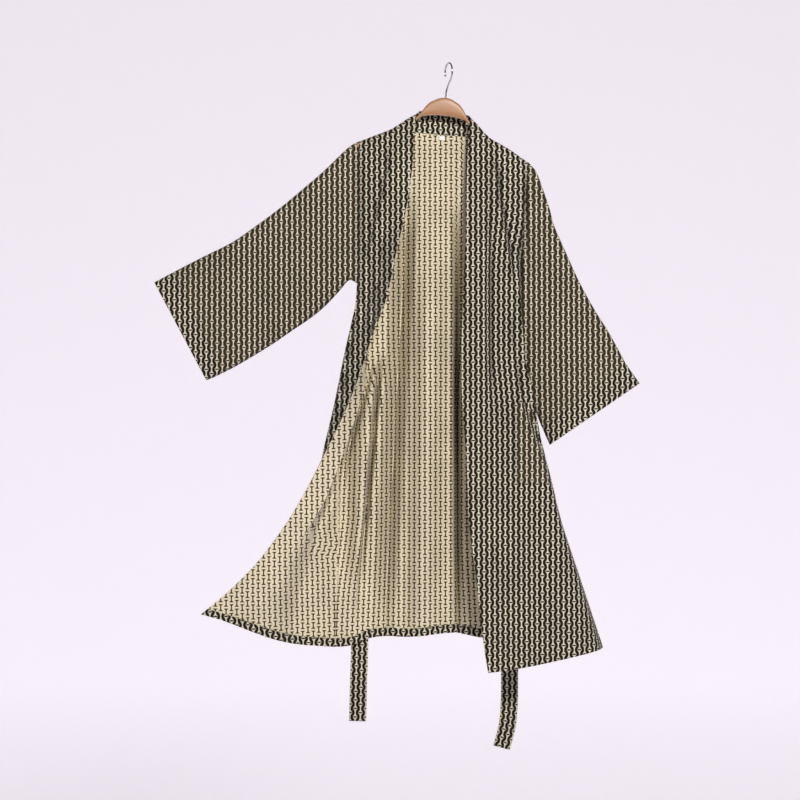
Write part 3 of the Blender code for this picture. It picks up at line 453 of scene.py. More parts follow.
def collarPanel(left, right):
    # Rows from the left hem up, round the neck and down to the right hem, from seam to edge.
    crown = neckRows[0][6] * np.clip(1 - resample(levels, fineRows) / 0.03, 0, 1)
    leftEdge = resample(lineAt(leftFront["edge"], levels), fineRows)
    rightEdge = resample(lineAt(rightFront["edge"], levels), fineRows)
    table = np.array(neckRows, float)
    neck = resample(table, np.linspace(0, len(table) - 1, 97))
    seams = np.concatenate([left[::-1, -1], neck[1:-1, :3], right[:, -1]])
    edges = np.concatenate([leftEdge[::-1], neck[1:-1, 3:6], rightEdge])
    crowns = np.concatenate([crown[::-1], neck[1:-1, 6], crown])
    middles = (seams + edges) / 2
    middles[:, 1] -= crowns
    across = places(2, 7, (0.04, 0.09, 0.16))
    return resample(np.stack([seams, middles, edges]), across).swapaxes(0, 1)


neckTable = resample(np.array(neckRows, float), np.linspace(0, len(neckRows) - 1, robe["neckColumns"] + 1))
shapes = {
    "leftFront": frontPanel(robe["leftSide"], leftFront, hanger["leftShoulder"]),
    "rightFront": frontPanel(robe["rightSide"], rightFront, hanger["rightShoulder"]),
    "back": backPanel(neckTable),
}
shapes["collarBand"] = collarPanel(shapes["leftFront"], shapes["rightFront"])
shapes = {name: toSpace(grid) for name, grid in shapes.items()}
print("body shaped", {name: grid.shape for name, grid in shapes.items()})


# The pattern is charted from its own repeat: columns of hourglasses, each column half a repeat
# below its neighbour, with a dark bar between one hourglass and the next.
pattern = {"pitch": 12.2, "repeat": 19.9, "thread": 0.9, "edge": 0.05, "uneven": 1.2}
outsideFace = {
    "ground": "#1a1509", "motif": "#d2cbb7", "waist": 1.05, "flare": 5.2, "power": 2.4, "most": 5.1,
    "bar": 0.18, "lens": 0.0052, "soft": 0.5, "dyeAndSheenMottle": 0.22,
}
insideFace = {
    "ground": "#d9cdb2", "motif": "#3a2e1a", "waist": 1.4, "flare": 22.0, "power": 4.5, "most": 4.8,
    "bar": 0.2, "lens": 0.0, "soft": 0.5, "dyeAndSheenMottle": 0.16,
}
sleeveFace = dict(outsideFace, ground="#332a1a", motif="#d6cebb", waist=0.95, flare=4.7, power=2.7)


def wovenFace(name, face):
    # Matte cotton with a slight sheen. The motif's long floats stand a little above the ground.
    material, tree, shader = newMaterial(name)
    cloth = addNode(tree, "UVMap", uv_map="cloth")
    across, down = (addNode(tree, "SeparateXYZ", {0: cloth}, axis) for axis in (0, 1))
    across = addNode(tree, "Math", {0: across, 1: 1000 / pattern["pitch"]}, operation="MULTIPLY")
    column = addNode(tree, "Math", {0: across}, operation="FLOOR")
    shift = addNode(tree, "Math", {0: column, 1: 2.0}, operation="FLOORED_MODULO")
    shift = addNode(tree, "Math", {0: shift, 1: 0.5}, operation="MULTIPLY")
    down = addNode(tree, "Math", {0: down, 1: 1000 / pattern["repeat"], 2: shift}, operation="MULTIPLY_ADD")
    # Distance from the column's middle in millimetres, and from the waist as a share of half a repeat.
    fromMiddle = addNode(tree, "Math", {0: across, 1: 0.5}, operation="PINGPONG")
    fromMiddle = addNode(tree, "Math", {
        0: fromMiddle, 1: -pattern["pitch"], 2: pattern["pitch"] / 2}, operation="MULTIPLY_ADD")
    fromWaist = addNode(tree, "Math", {0: down, 1: 0.5}, operation="PINGPONG")
    fromWaist = addNode(tree, "Math", {0: fromWaist, 1: 2.0}, operation="MULTIPLY")
    flare = addNode(tree, "Math", {0: fromWaist, 1: face["power"]}, operation="POWER")
    width = addNode(tree, "Math", {0: flare, 1: face["flare"], 2: face["waist"]}, operation="MULTIPLY_ADD")
    width = addNode(tree, "Math", {0: width, 1: face["most"]}, operation="MINIMUM")
    gapAcross = addNode(tree, "Math", {0: width, 1: fromMiddle}, operation="SUBTRACT")
    # Yarns make the motif's edge uneven.
    yarn = addNode(tree, "TexNoise", {"Vector": cloth, "Scale": 900.0, "Detail": 1.0}, noise_dimensions="2D")
    gapAcross = addNode(tree, "Math", {0: yarn, 1: pattern["uneven"], 2: gapAcross}, operation="MULTIPLY_ADD")
    middle = pattern["uneven"] / 2
    inAcross = addNode(tree, "MapRange", {
        "Value": gapAcross, "From Min": middle - face["soft"], "From Max": middle + face["soft"]},
        interpolation_type="SMOOTHSTEP")
    square = addNode(tree, "Math", {0: fromMiddle, 1: fromMiddle}, operation="MULTIPLY")
    end = addNode(tree, "Math", {0: square, 1: face["lens"], 2: 1 - face["bar"]}, operation="MULTIPLY_ADD")
    gapDown = addNode(tree, "Math", {0: end, 1: fromWaist}, operation="SUBTRACT")
    inDown = addNode(tree, "MapRange", {
        "Value": gapDown, "From Min": -pattern["edge"], "From Max": pattern["edge"]},
        interpolation_type="SMOOTHSTEP")
    motif = addNode(tree, "Math", {0: inAcross, 1: inDown}, operation="MULTIPLY")
    # The dye varies over a hand's breadth, and a painted sheen and shade on the yarns vary with it.
    patch = addNode(tree, "TexNoise", {
        "Vector": addNode(tree, "TexCoord", output="Object"), "Scale": 14.0, "Detail": 3.0})
    tone = addNode(tree, "Math", {0: patch, 1: yarn}, operation="ADD")
    tone = addNode(tree, "MapRange", {
        "Value": tone, "From Min": 0.6, "From Max": 1.4,
        "To Min": 1 - face["dyeAndSheenMottle"], "To Max": 1 + face["dyeAndSheenMottle"]})
    colour = addNode(tree, "Mix", {
        0: motif, 6: linearColour(face["ground"]), 7: linearColour(face["motif"])}, 2, data_type="RGBA")
    colour = addNode(tree, "VectorMath", {0: colour, "Scale": tone}, operation="SCALE")
    threads = addNode(tree, "TexWave", {
        "Vector": cloth, "Scale": 1000 / pattern["thread"] / 6.28, "Distortion": 1.5, "Detail": 1.0},
        "Fac", bands_direction="DIAGONAL")
    height = addNode(tree, "Math", {0: threads, 1: 0.35, 2: motif}, operation="MULTIPLY_ADD")
    bump = addNode(tree, "Bump", {"Height": height, "Strength": 0.35, "Distance": 0.0004})
    fillInputs(tree, shader, {
        "Base Color": colour, "Normal": bump, "Roughness": 0.82, "Specular IOR Level": 0.12,
        "Sheen Weight": 0.05, "Sheen Roughness": 0.5})
    return material


outsideCloth = wovenFace("jacquardOutside", outsideFace)
insideCloth = wovenFace("jacquardInside", insideFace)
sleeveCloth = wovenFace("jacquardSleeve", sleeveFace)


def clothCoordinates(points, middleColumn, levelRow=0, laidOut=1.0, laidFrom=560.0):
    # Millimetres across and down the cloth. The columns hang plumb from the middle column, and
    # laidOut says how much of the folds' depth is laid out flat, below the drop laidFrom.
    steps = np.diff(points, axis=1)
    signs = np.where(steps[..., 0] < 0, -1, 1)
    lower = smoothStep((-points[:, 1:, 2] - laidFrom) / 240)
    stepsAcross = signs * np.hypot(steps[..., 0], steps[..., 1] * laidOut * lower)
    across = np.insert(np.cumsum(stepsAcross, axis=1), 0, 0, axis=1)
    across += (points[:, middleColumn, 0] - across[:, middleColumn])[:, None]
    down = walkedAlong(points[..., 1:])
    down = down[levelRow] - down + points[levelRow, :, 2]
    below = np.arange(len(points))[:, None] >= levelRow
    return np.stack([across, np.where(below, points[..., 2], down)], axis=-1)


def gridNormals(points, closed=False):
    down = np.gradient(points, axis=0)
    if closed:
        along = np.roll(points, -1, axis=1) - np.roll(points, 1, axis=1)
    else:
        along = np.gradient(points, axis=1)
    return unit(np.cross(along, down))


def dipSeams(points, outward, seams, strength=1.0):
    # Sinks the cloth where it is sewn. seams names the grid's edges: top, bottom, first, last.
    deep = np.zeros(points.shape[:2])
    across, down = walkedAlong(points, 1), walkedAlong(points)
    gaps = {"first": across, "last": across[:, -1:] - across, "top": down, "bottom": down[-1:] - down}
    reach = sewing["seamReach"] * np.sqrt(strength)
    for seam in seams:
        deep = np.maximum(deep, np.exp(-(gaps[seam] / reach) ** 2))
    return points - outward * (deep * strength)[..., None] * sewing["seamDip"]


def sinkArmhole(points, distance, reach):
    # The armhole's seam lies in a crease down the front.
    deep = np.clip(-points[..., 1] / 10, 0, 1) * np.exp(-(distance / reach) ** 2)
    return points + np.stack([0 * deep, deep, 0 * deep], axis=-1) * sewing["armholeDip"]


def makeCloth(name, points, coordinates, materials, thick, outward, closed=False, kinds=None):
    # One sheet of cloth with a wall: a grid laid on the points, faces outward, then Solidify.
    rows, columns = points.shape[:2]
    work = bmesh.new()
    bmesh.ops.create_grid(work, x_segments=columns - 1, y_segments=rows - 1, size=1)
    work.verts.ensure_lookup_table()
    flatPoints = (points * mm).reshape(-1, 3)
    flatUv = (coordinates * mm).reshape(-1, 2)
    for index, vert in enumerate(work.verts):
        vert.co = flatPoints[index]
    layer = work.loops.layers.uv.new("cloth")
    for face in work.faces:
        face.smooth = True
        for loop in face.loops:
            loop[layer].uv = flatUv[loop.vert.index]
        if kinds is not None:
            face.material_index = int(kinds[min(vert.index // columns for vert in face.verts)])
    work.normal_update()
    sample = list(work.faces)[:: max(1, len(work.faces) // 400)]
    aim = outward.reshape(-1, 3)
    if sum(face.normal.dot(Vector(aim[face.verts[0].index])) for face in sample) < 0:
        bmesh.ops.reverse_faces(work, faces=work.faces)
    if closed:
        bmesh.ops.remove_doubles(work, verts=work.verts, dist=weldDistance)
    piece = meshObject(name, work, materials)
    wall = piece.modifiers.new("wall", "SOLIDIFY")
    wall.thickness = thick * mm
    wall.offset = 0
    wall.use_even_offset = False
    wall.material_offset = 1 if len(materials) > 1 else 0
    return piece


signs = {"leftFront": -1, "rightFront": 1, "back": 1, "collarBand": 1}
outwards = {name: gridNormals(grid) * signs[name] for name, grid in shapes.items()}
bothFaces = [outsideCloth, insideCloth]


def heldFlat(heights):
    # The blown-open edge is less sunk at its seams lower down.
    return 1 - 0.8 * smoothStep((-heights - sewing["looseBelow"]) / sewing["looseFade"])


grid, outward = shapes["back"], outwards["back"]
addPiece("back", makeCloth(
    "backPanel", dipSeams(grid, outward, ("first", "last", "top")),
    clothCoordinates(grid, grid.shape[1] // 2, underarmFine, back["laidOut"]),
    bothFaces, sewing["cloth"], outward), "back")

for name, node, cut in (("leftFront", "left_front", leftFront), ("rightFront", "right_front", rightFront)):
    grid, outward = shapes[name], outwards[name]
    strength = heldFlat(grid[..., 2]) if name == "leftFront" else np.ones(grid.shape[:2])
    strength[:8, :6] = 0.05  # the shoulder point stays over the hanger's end
    sewn = dipSeams(grid, outward, ("first", "last", "top"), strength)
    sewn = sinkArmhole(sewn, np.abs(grid[..., 0] - grid[:, :1, 0]), sewing["armholeReach"])
    addPiece(name, makeCloth(
        name + "Panel", sewn,
        clothCoordinates(grid, grid.shape[1] - 1, underarmFine, cut["laidOut"], cut["laidFrom"]),
        bothFaces, sewing["cloth"], outward), node)

# The band's inside is dark at the neck, and shows the cloth's cream face lower down.
band, outward = shapes["collarBand"], outwards["collarBand"]
bandKinds = np.where(band[:, 0, 2] > -sewing["bandCreamBelow"], 2, 0)
bandLeft = (np.arange(len(band)) < len(band) // 2)[:, None]
addPiece("collarBand", makeCloth(
    "collarBandPanel", dipSeams(band, outward, ("first",), np.where(bandLeft, heldFlat(band[..., 2]), 1.0)),
    band[..., [0, 2]], bothFaces + [outsideCloth, outsideCloth], sewing["band"], outward, kinds=bandKinds),
    "collar_band")
print("body panels made")


# Rings down each sleeve: top across, top drop, low across, low drop, centre depth, half depth.
leftArm = {
    "node": "left", "side": robe["leftSide"], "front": "leftFront", "backColumn": 0,
    "sleeve": [
        (-228, 191, -229, 497, 0, 16), (-252, 213, -252, 522, 0, 17),
        (-286, 246, -284, 556, -1, 18), (-330, 284, -318, 584, -2, 18),
        (-384, 329, -362, 614, -3, 18), (-440, 371, -410, 647, -3, 18),
        (-500, 412, -456, 675, -4, 18), (-562, 443, -494, 697, -4, 18),
    ],
    "cuff": [
        (-634, 480, -521, 711, -4, 19), (-656, 492, -540, 720, -4, 19),
        (-677, 503, -558, 727, -4, 20),
    ],
}
rightArm = {
    "node": "right", "side": robe["rightSide"], "front": "rightFront", "backColumn": -1,
    "sleeve": [
        (201, 249, 167, 558, 1, 15), (215, 285, 165, 588, 3, 15), (231, 332, 166, 620, 5, 15),
        (243, 375, 169, 656, 7, 15), (268, 432, 175, 698, 8, 16), (299, 500, 186, 745, 8, 16),
        (334, 564, 197, 786, 8, 17), (370, 622, 208, 818, 8, 17),
    ],
    "cuff": [
        (407, 690, 217, 840, 8, 18), (423, 713, 225, 858, 8, 18), (439, 735, 233, 876, 8, 19),
    ],
}


drape = {"wave": 15.0, "depth": 2.6, "lean": 420.0, "start": 1.0, "halfDepth": 18.0}


def ringPoints(rings, side):
    # Closed rings of points, down the front from the upper edge and up the back again.
    level = resample(levels, fineRows)[: underarmFine + 1]
    share = level / robe["underarm"]
    height = (side[-1][0] - side[0][0]) * robe["underarm"]
    reach = armholeReach(share, share * height)
    table = np.array(rings, float)[:, None, :]
    share = np.concatenate([share, share[::-1][1:]])
    reach = np.concatenate([-reach, reach[::-1][1:]])
    return np.stack([
        table[..., 0] + (table[..., 2] - table[..., 0]) * share,
        table[..., 1] + (table[..., 3] - table[..., 1]) * share,
        table[..., 4] + table[..., 5] * reach,
    ], axis=-1)


def tubeCoordinates(points):
    # Across and down in the plane of the sleeve's flat front, with the edges' depth laid out.
    half = points.shape[1] // 2
    front = points[:, : half + 1]
    chord = front[:, -1] - front[:, 0]
    share = walkedAlong(front, 1) / np.linalg.norm(chord, axis=-1)[:, None]
    share -= (share[:, -1:] - 1) / 2
    place = front[:, :1] + chord[:, None] * share[..., None]
    place = np.concatenate([place, place[:, ::-1][:, 1:]], axis=1)
    return place[..., [0, 2]]


for arm in (leftArm, rightArm):
    front = shapes[arm["front"]][: underarmFine + 1, 0]
    rear = shapes["back"][: underarmFine + 1, arm["backColumn"]]
    rings = toSpace(ringPoints(arm["sleeve"] + arm["cuff"][:1], arm["side"]))
    rings = np.concatenate([np.concatenate([front, rear[::-1][1:]])[None], rings])
    rings[0, 0, 1] = rings[0, -1, 1] = 0.0
    sleeve = resample(rings, places(len(rings) - 1, 8, (0.03, 0.06, 0.1, 0.2)))
    # Shallow waves hang down the front and the back between the seams.
    flatter = np.abs(sleeve[..., 1] - sleeve[..., 1].mean(axis=1, keepdims=True)) / drape["halfDepth"]
    along = np.linspace(0, 1, len(sleeve))[:, None]
    wave = np.sin(sleeve[..., 0] / drape["wave"] + sleeve[..., 2] / drape["lean"] + drape["start"])
    sleeve[..., 1] += drape["depth"] * wave * np.clip(flatter, 0, 1) * np.sin(math.pi * along)
    cuff = resample(toSpace(ringPoints(arm["cuff"], arm["side"])), places(2, 5, (0.1, 0.2)))
    for kind, grid, cloth in (("Sleeve", sleeve, sleeveCloth), ("Cuff", cuff, outsideCloth)):
        outward = gridNormals(grid[:, :-1], closed=True)
        outward = np.concatenate([outward, outward[:, :1]], axis=1)
        if np.mean(np.sum((grid - grid.mean(axis=1, keepdims=True)) * outward, axis=-1)) < 0:
            outward = -outward
        sewn = dipSeams(grid, outward, ("top", "bottom") if kind == "Sleeve" else ("top",))
        if kind == "Sleeve":
            sewn = sinkArmhole(sewn, np.linalg.norm(grid - grid[:1], axis=-1), sewing["sleeveReach"])
        name = arm["node"] + kind
        addPiece(name, makeCloth(
            name + "Tube", sewn, tubeCoordinates(grid), [cloth, insideCloth], sewing["cloth"], outward,
            closed=True), arm["node"] + "_" + kind.lower())
print("sleeves made")


# Dark mercerised cotton, with a faint sheen.
threadMaterial, tree, shader = newMaterial("cottonSewingThread")
twist = addNode(tree, "TexNoise", {
    "Vector": addNode(tree, "TexCoord", output="Object"), "Scale": 1600.0, "Detail": 2.0})
fillInputs(tree, shader, {
    "Base Color": addNode(tree, "Mix", {
        0: twist, 6: linearColour("#1d1810"), 7: linearColour("#5d513c")}, 2, data_type="RGBA"),
    "Normal": addNode(tree, "Bump", {"Height": twist, "Strength": 0.4, "Distance": 0.0001}),
    "Roughness": 0.6})


def sewnLine(name, lines):
    # Lockstitches: short thread lengths lying on the cloth, one every few millimetres of each line.
    work = bmesh.new()
    for route, outward in lines:
        walked = walkedAlong(route)
        stops = np.arange(2.0, walked[-1] - 2.0, sewing["stitch"])
        rows = np.interp(stops, walked, np.arange(len(route)))
        spots, up = resample(route, rows), unit(resample(outward, rows))
        along = unit(resample(np.gradient(route, axis=0), rows))
        side = unit(np.cross(up, along))
        for spot, ahead, across, out in zip(spots, along, side, up):
            made = bmesh.ops.create_cube(work, size=1)["verts"]
            for vert in made:
                thin = 1 - 0.5 * (abs(vert.co.x) > 0.4) * (vert.co.z > 0)
                place = (spot + ahead * vert.co.x * sewing["stitch"] * sewing["stitchShare"]
                         + across * vert.co.y * sewing["threadWide"] * thin
                         + out * vert.co.z * sewing["threadHigh"])
                vert.co = Vector(place * mm)
    for face in work.faces:
        face.smooth = True
    bmesh.ops.recalc_face_normals(work, faces=work.faces)
    addPiece(name, meshObject(name, work, [threadMaterial]))


def hemStrip(name, points, outward, wall):
    # The outside face turned up inside the hem, lying on the cloth, and sewn near its top.
    walked = walkedAlong(points)
    rise = np.linspace(0.3, sewing["hemTurnUp"], 8)
    strip = np.zeros((len(rise), points.shape[1], 3))
    away = np.zeros_like(strip)
    rows = np.arange(len(points))
    for column in range(points.shape[1]):
        found = np.interp(walked[-1, column] - rise, walked[:, column], rows)
        strip[:, column] = resample(points[:, column], found)
        away[:, column] = unit(resample(outward[:, column], found))
    strip = strip - away * (wall / 2 + sewing["cloth"] / 2 + sewing["lieOn"])
    addPiece(name, makeCloth(
        name, strip, clothCoordinates(strip, strip.shape[1] // 2, laidOut=0.0), [outsideCloth],
        sewing["cloth"] * 0.8, -away))
    inner = strip[6] - away[6] * (sewing["cloth"] * 0.4 + sewing["lieOn"])
    outer = strip[6] + away[6] * (wall + sewing["cloth"] / 2 + 2 * sewing["lieOn"])
    sewnLine(name + "Stitches", [(inner, away[6]), (outer, away[6])])


half = len(band) // 2
for name in ("back", "leftFront", "rightFront"):
    hemStrip(name + "Hem", shapes[name], outwards[name], sewing["cloth"])
hemStrip("leftBandHem", band[:half][::-1], outwards["collarBand"][:half][::-1], sewing["band"])
hemStrip("rightBandHem", band[half:], outwards["collarBand"][half:], sewing["band"])


def treeOf(piece):
    graph = bpy.context.evaluated_depsgraph_get()
    return BVHTree.FromObject(piece, graph)


def laidOn(tree, spots, start, way, lift):
    # Points on a surface under a grid of (across, height) spots, moved out by lift.
    found = np.zeros(spots.shape[:2] + (3,))
    lean = np.zeros_like(found)
    for row in range(spots.shape[0]):
        for column in range(spots.shape[1]):
            origin = Vector((spots[row, column, 0] * mm, start * mm, spots[row, column, 1] * mm))
            place, normal, _, _ = tree.ray_cast(origin, Vector((0, way, 0)))
            if place is None:
                place, normal, _, _ = tree.find_nearest(origin)
            if normal.y * way > 0:
                normal = -normal
            found[row, column] = np.array(place) / mm + np.array(normal) * lift
            lean[row, column] = normal
    return found, lean


pocket = {
    "top": 779.0, "bottom": 965.0, "topAcross": (149.0, 187.0), "bottomAcross": (155.0, 231.0),
    "depth": -45.0, "stitchBelowTop": 34.0,
}
share = np.linspace(0, 1, 61)
inner = pocket["topAcross"][0] + (pocket["bottomAcross"][0] - pocket["topAcross"][0]) * share
outer = pocket["topAcross"][1] + (pocket["bottomAcross"][1] - pocket["topAcross"][1]) * share
drops = pocket["top"] + (pocket["bottom"] - pocket["top"]) * share
width = np.linspace(0, 1, 25)
flat = np.stack([
    inner[:, None] + (outer - inner)[:, None] * width,
    np.repeat(drops[:, None], len(width), axis=1),
    np.full((len(share), len(width)), pocket["depth"]),
], axis=-1)
spots = toSpace(flat)[..., [0, 2]]
points, lean = laidOn(treeOf(pieces["rightFront"]), spots, -300, 1, 1.3)
points[..., 0] = spots[..., 0]
addPiece("pocket", makeCloth(
    "pocketPatch", points, clothCoordinates(points, 0), [sleeveCloth, insideCloth], sewing["cloth"], lean),
    "pocket")
# Sewn down on three sides, with a deep turned hem across its top.
raised = points + lean * (sewing["cloth"] / 2 + sewing["lieOn"])
hemRow = int(pocket["stitchBelowTop"] / (pocket["bottom"] - pocket["top"]) * (len(share) - 1))
sewnLine("pocketStitches", [
    (raised[:, 1], lean[:, 1]), (raised[:, -2], lean[:, -2]), (raised[-2], lean[-2]),
    (raised[hemRow], lean[hemRow])])

label = {"across": (-22.0, -9.0), "drop": (166.0, 175.8), "depth": 28.0, "thick": 0.5}
# Bleached polyester in a close satin weave.
labelMaterial, tree, shader = newMaterial("wovenSatinLabel")
threads = addNode(tree, "TexWave", {
    "Vector": addNode(tree, "UVMap", uv_map="cloth"), "Scale": 400.0, "Distortion": 0.4},
    "Fac", bands_direction="Y")
fillInputs(tree, shader, {
    "Base Color": addNode(tree, "Mix", {
        0: threads, 6: linearColour("#dedad4"), 7: linearColour("#f4f2ef")}, 2, data_type="RGBA"),
    "Normal": addNode(tree, "Bump", {"Height": threads, "Strength": 0.3, "Distance": 0.0002}),
    "Roughness": 0.5})
flat = np.stack(np.meshgrid(
    np.linspace(*label["across"], 9), np.linspace(*label["drop"], 7), label["depth"]), axis=-1)[..., 0, :]
spots = toSpace(flat)[..., [0, 2]]
points, lean = laidOn(treeOf(pieces["back"]), spots, 0, 1, 0.55)
addPiece("neckLabel", makeCloth(
    "neckLabelPatch", points, clothCoordinates(points, 0), [labelMaterial], label["thick"], lean),
    "neck_label")


belt = {
    "width": 40.0, "waist": 641.0, "onBack": 1300.0, "leftLoop": -172.0, "rightLoop": 112.0, "lift": 2.6,
    "route": [
        (1523, -211, 92), (1440, -209, 91), (1340, -206, 88), (1180, -206, 80), (1000, -206, 66),
        (860, -206, 52), (760, -206, 44), (700, -206, 41), (668, -204, 40), (648, -194, 40),
        (641, -172, 42), (641, -150, 56), (642, -110, 73), (643, -50, 77), (643, 14, 80),
        (643, 44, 71), (642, 80, 48), (641, 112, 30), (647, 130, 26), (666, 143, 22),
        (700, 146, 24), (760, 146, 32), (860, 146, 48), (1000, 146, 64), (1180, 146, 78),
        (1330, 145, 88), (1420, 144, 92), (1485, 143, 93), (1535, 138, 93), (1585, 125, 92),
    ],
}


def backDepth(tree, across, height):
    place, _, _, _ = tree.ray_cast(Vector((across * mm, 0.3, height * mm)), Vector((0, -1, 0)))
    return -1000.0 if place is None else place.y / mm


backTree = treeOf(pieces["back"])
middle = evenly(np.array([(across, depth, -drop) for drop, across, depth in belt["route"]], float), 260)
half = belt["width"] / 2
for point in middle:
    if -point[2] < belt["onBack"]:
        under = max(
            backDepth(backTree, point[0] + side, point[2] + rise)
            for side in (-half, -half / 2, 0, half / 2, half) for rise in (-half, 0, half))
        point[1] = max(point[1], under + belt["lift"])
for _ in range(3):
    middle[1:-1, 1] = np.maximum(middle[1:-1, 1], (middle[:-2, 1] + middle[2:, 1]) / 2)
tangent = unit(np.gradient(middle, axis=0))
sideways = unit(np.cross(tangent, np.array([0.0, 1.0, 0.0])))
facing = unit(np.cross(sideways, tangent))
across = np.linspace(-half, half, 9)
points = middle[:, None] + sideways[:, None] * across[None, :, None]
facing = np.repeat(facing[:, None], len(across), axis=1)
coordinates = np.stack(np.meshgrid(across, walkedAlong(middle)), axis=-1)
addPiece("belt", makeCloth(
    "beltStrip", points, coordinates, [outsideCloth], sewing["belt"], facing), "belt")

beltTree = treeOf(pieces["belt"])
for side, place in (("left", belt["leftLoop"]), ("right", belt["rightLoop"])):
    rises = np.array([-26, -24.5, -23, -21.6, -20.5, -14, 0, 14, 20.5, 21.6, 23, 24.5, 26], float)
    columns = np.linspace(-4, 4, 5)
    points = np.zeros((len(rises), len(columns), 3))
    over = max(backDepth(beltTree, place + step, -belt["waist"]) for step in (-6, 0, 6)) + 1.4
    for row, rise in enumerate(rises):
        height = -(belt["waist"] + rise)
        under = max(backDepth(backTree, place + step, height) for step in columns) + 1.2
        depth = over if abs(rise) < 21 else under
        if 21 <= abs(rise) < 22:
            depth = (over + under) / 2
        points[row, :, 0] = place + columns
        points[row, :, 1] = depth
        points[row, :, 2] = height
    lean = np.zeros_like(points)
    lean[..., 1] = 1
    addPiece(side + "BeltLoop", makeCloth(
        side + "BeltLoopStrap", points, clothCoordinates(points, 2), [outsideCloth], sewing["loop"], lean),
        side + "_belt_loop")
print("small pieces made")


# Rows along one arm: along, top, bottom and thickness. The other arm mirrors it.
wood = {
    "rows": [
        (0, 0.0, 41.5, 12), (10, 1.2, 41.5, 12), (19, 4.6, 42.3, 12), (34, 13.4, 44.0, 12),
        (42, 22.0, 45.5, 12), (48, 31.0, 47.0, 12), (52, 38.0, 50.0, 12), (58, 46.0, 55.0, 11),
        (66, 55.0, 66.0, 11), (74, 68.0, 82.0, 11), (82, 77.0, 91.0, 11), (112.5, 84.8, 100.0, 11),
        (150, 103.7, 118.0, 11), (188, 122.9, 135.0, 10), (193, 127.5, 136.0, 8),
        (196, 132.0, 135.5, 5),
    ],
}
# Beech, warm and close grained, under a thin satin lacquer, and paler on its sanded lower edge.
beech, tree, shader = newMaterial("lacqueredBeech")
stretched = addNode(tree, "Mapping", {
    "Vector": addNode(tree, "TexCoord", output="Object"), "Rotation": (0, -hanger["tilt"], 0),
    "Scale": (6.0, 60.0, 90.0)})
grain = addNode(tree, "TexNoise", {
    "Vector": stretched, "Scale": 3.0, "Detail": 6.0, "Roughness": 0.6, "Distortion": 0.6})
flecks = addNode(tree, "TexNoise", {"Vector": stretched, "Scale": 22.0, "Detail": 2.0})
upward = addNode(tree, "SeparateXYZ", {0: addNode(tree, "NewGeometry", output="Normal")}, 2)
colour = addNode(tree, "Mix", {
    0: grain, 6: linearColour("#8f5f3c"), 7: linearColour("#b07e54")}, 2, data_type="RGBA")
for value, start, end, most, over in (
    (flecks, 0.58, 0.72, 0.35, "#7b5233"), (upward, -0.6, -0.85, 0.8, "#d6bfa9")):
    share = addNode(tree, "MapRange", {"Value": value, "From Min": start, "From Max": end, "To Max": most})
    colour = addNode(tree, "Mix", {0: share, 6: colour, 7: linearColour(over)}, 2, data_type="RGBA")
fillInputs(tree, shader, {
    "Base Color": colour, "Roughness": 0.5, "Coat Weight": 0.35, "Coat Roughness": 0.34,
    "Normal": addNode(tree, "Bump", {"Height": grain, "Strength": 0.12, "Distance": 0.0003})})


def hangerPlace(along, depth, height):
    # A place on the hanger, whose arms slope a little to one side.
    turn = hanger["tilt"]
    return np.array((
        hanger["across"] + along * math.cos(turn) + height * math.sin(turn), depth,
        -hanger["drop"] - along * math.sin(turn) + height * math.cos(turn)))


rows = np.array(wood["rows"], float)
table = np.concatenate([rows[:0:-1] * (-1, 1, 1, 1), rows])
fine = resample(table, np.linspace(0, len(table) - 1, 161))
turn = np.linspace(0, 2 * math.pi, 33)
points = np.zeros((len(fine), len(turn), 3))
for index, (along, top, bottom, thick) in enumerate(fine):
    # A rounded section, nearly straight on its faces.
    depths = np.sign(np.sin(turn)) * np.abs(np.sin(turn)) ** 0.55 * thick / 2
    heights = np.sign(np.cos(turn)) * np.abs(np.cos(turn)) ** 0.75 * (bottom - top) / 2 - (top + bottom) / 2
    points[index] = [hangerPlace(along, depth, height) for depth, height in zip(depths, heights)]
work = bmesh.new()
bmesh.ops.create_grid(work, x_segments=len(turn) - 1, y_segments=len(fine) - 1, size=1)
for vert, point in zip(work.verts, points.reshape(-1, 3) * mm):
    vert.co = point
bmesh.ops.remove_doubles(work, verts=work.verts, dist=weldDistance)
bmesh.ops.holes_fill(work, edges=[edge for edge in work.edges if edge.is_boundary], sides=0)
bmesh.ops.recalc_face_normals(work, faces=work.faces)
for face in work.faces:
    face.smooth = True
addPiece("hangerWood", meshObject("hangerWoodArm", work, [beech]), "hanger_wood")

hook = {
    "wire": 3.8, "inside": 38.0, "turn": math.radians(22), "start": math.radians(42),
    "end": math.radians(292), "foot": 0.3, "neck": 13.0,
}
chrome, tree, shader = newMaterial("chromedSteelWire")  # drawn wire, bright plated
marks = addNode(tree, "TexNoise", {
    "Vector": addNode(tree, "TexCoord", output="Object"), "Scale": 300.0, "Detail": 3.0})
fillInputs(tree, shader, {
    "Base Color": linearColour("#c9c6c8"), "Metallic": 1.0,
    "Roughness": addNode(tree, "MapRange", {"Value": marks, "To Min": 0.1, "To Max": 0.28})})
radius = (hook["inside"] + hook["wire"]) / 2
foot, neck = hangerPlace(0, 0, hook["foot"]), hangerPlace(0, 0, hook["neck"])
route = [foot, (foot + neck) / 2, neck]
for angle in np.linspace(hook["start"], hook["end"], 27):
    reach = radius * math.sin(angle)
    route.append((reach * math.sin(hook["turn"]), -reach * math.cos(hook["turn"]),
                  -hook["inside"] / 2 - radius * math.cos(angle)))
path = evenly(np.array(route, float), 120)
curve = bpy.data.curves.new("hangerHookWire", "CURVE")
curve.dimensions = "3D"
curve.bevel_depth = hook["wire"] / 2 * mm
curve.bevel_resolution = 5
curve.use_fill_caps = True
spline = curve.splines.new("POLY")
spline.points.add(len(path) - 1)
for point, place in zip(spline.points, path):
    point.co = (*(place * mm), 1)
bent = addObject("hangerHookWireCurve", curve)
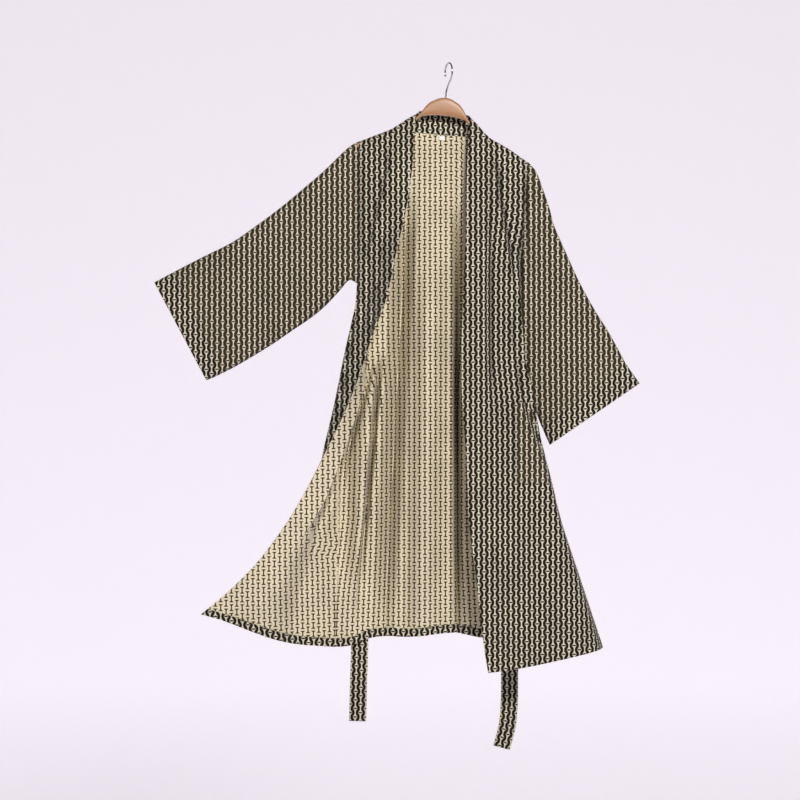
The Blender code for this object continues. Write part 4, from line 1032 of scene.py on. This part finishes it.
mesh = bpy.data.meshes.new_from_object(bent.evaluated_get(bpy.context.evaluated_depsgraph_get()))
bpy.data.objects.remove(bent)
for polygon in mesh.polygons:
    polygon.use_smooth = True
mesh.materials.clear()
addPiece("hangerHook", addObject("hangerHookWire", mesh, [chrome]), "hanger_hook")
print("hanger made")


room = {
    "floor": -3.6, "wall": 9.0, "front": -9.0, "half": 9.0, "bend": 1.2, "top": 5.0,
    "colour": linearColour("#f3eef5"), "glow": 0.49, "air": "#f4f0f8", "airLight": 0.16,
}
work = bmesh.new()
bmesh.ops.create_grid(work, x_segments=1, y_segments=40, size=1)
spine = [(room["front"], room["floor"]), (room["wall"] - room["bend"], room["floor"])]
for step in range(1, 39):
    angle = math.pi / 2 * step / 38
    spine.append((room["wall"] - room["bend"] + room["bend"] * math.sin(angle),
                  room["floor"] + room["bend"] * (1 - math.cos(angle))))
spine.append((room["wall"], room["top"]))
for index, vert in enumerate(work.verts):
    vert.co = (room["half"] * (1 if index % 2 else -1), *spine[index // 2])
for face in work.faces:
    face.smooth = True
# Seamless studio paper, lit from behind so that it reads nearly white.
paper, tree, shader = newMaterial("paperSweep")
fillInputs(tree, shader, {
    "Base Color": room["colour"], "Roughness": 0.9, "Emission Color": room["colour"],
    "Emission Strength": room["glow"]})
meshObject("studioSweep", work, [paper])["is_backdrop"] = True

softbox = {
    "place": (0.85, -5.0, 1.6), "aim": (-0.1, 0, -0.75), "size": 0.8, "power": 275.0, "colour": "#fffdf8",
}
lamp = bpy.data.lights.new("keySoftbox", "AREA")
lamp.size = softbox["size"]
lamp.energy = softbox["power"]
lamp.color = linearColour(softbox["colour"])[:3]
holder = addObject("keySoftbox", lamp)
holder.location = softbox["place"]
toward = Vector(softbox["aim"]) - Vector(softbox["place"])
holder.rotation_euler = toward.to_track_quat("-Z", "Y").to_euler()
world = bpy.data.worlds.new("studioAir")
bpy.context.scene.world = world
world.use_nodes = True
fillInputs(world.node_tree, world.node_tree.nodes["Background"], {
    "Color": linearColour(room["air"]), "Strength": room["airLight"]})

camera = bpy.data.cameras.new("view")
camera.sensor_width = 36
camera.lens = camera.sensor_width * sight["distance"] / sight["fieldWidth"]
holder = addObject("view", camera)
holder.location = (sight["across"] * mm, -sight["distance"] * mm, -sight["drop"] * mm)
holder.rotation_euler = (math.pi / 2, 0, 0)
bpy.context.scene.camera = holder
bpy.context.scene.view_settings.view_transform = "Standard"


def plain(value):
    # Plain lists of numbers.
    if hasattr(value, "__len__"):
        return [plain(item) for item in value]
    return float(value)


{"cad": plain(cadBox), "visual": plain(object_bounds())}
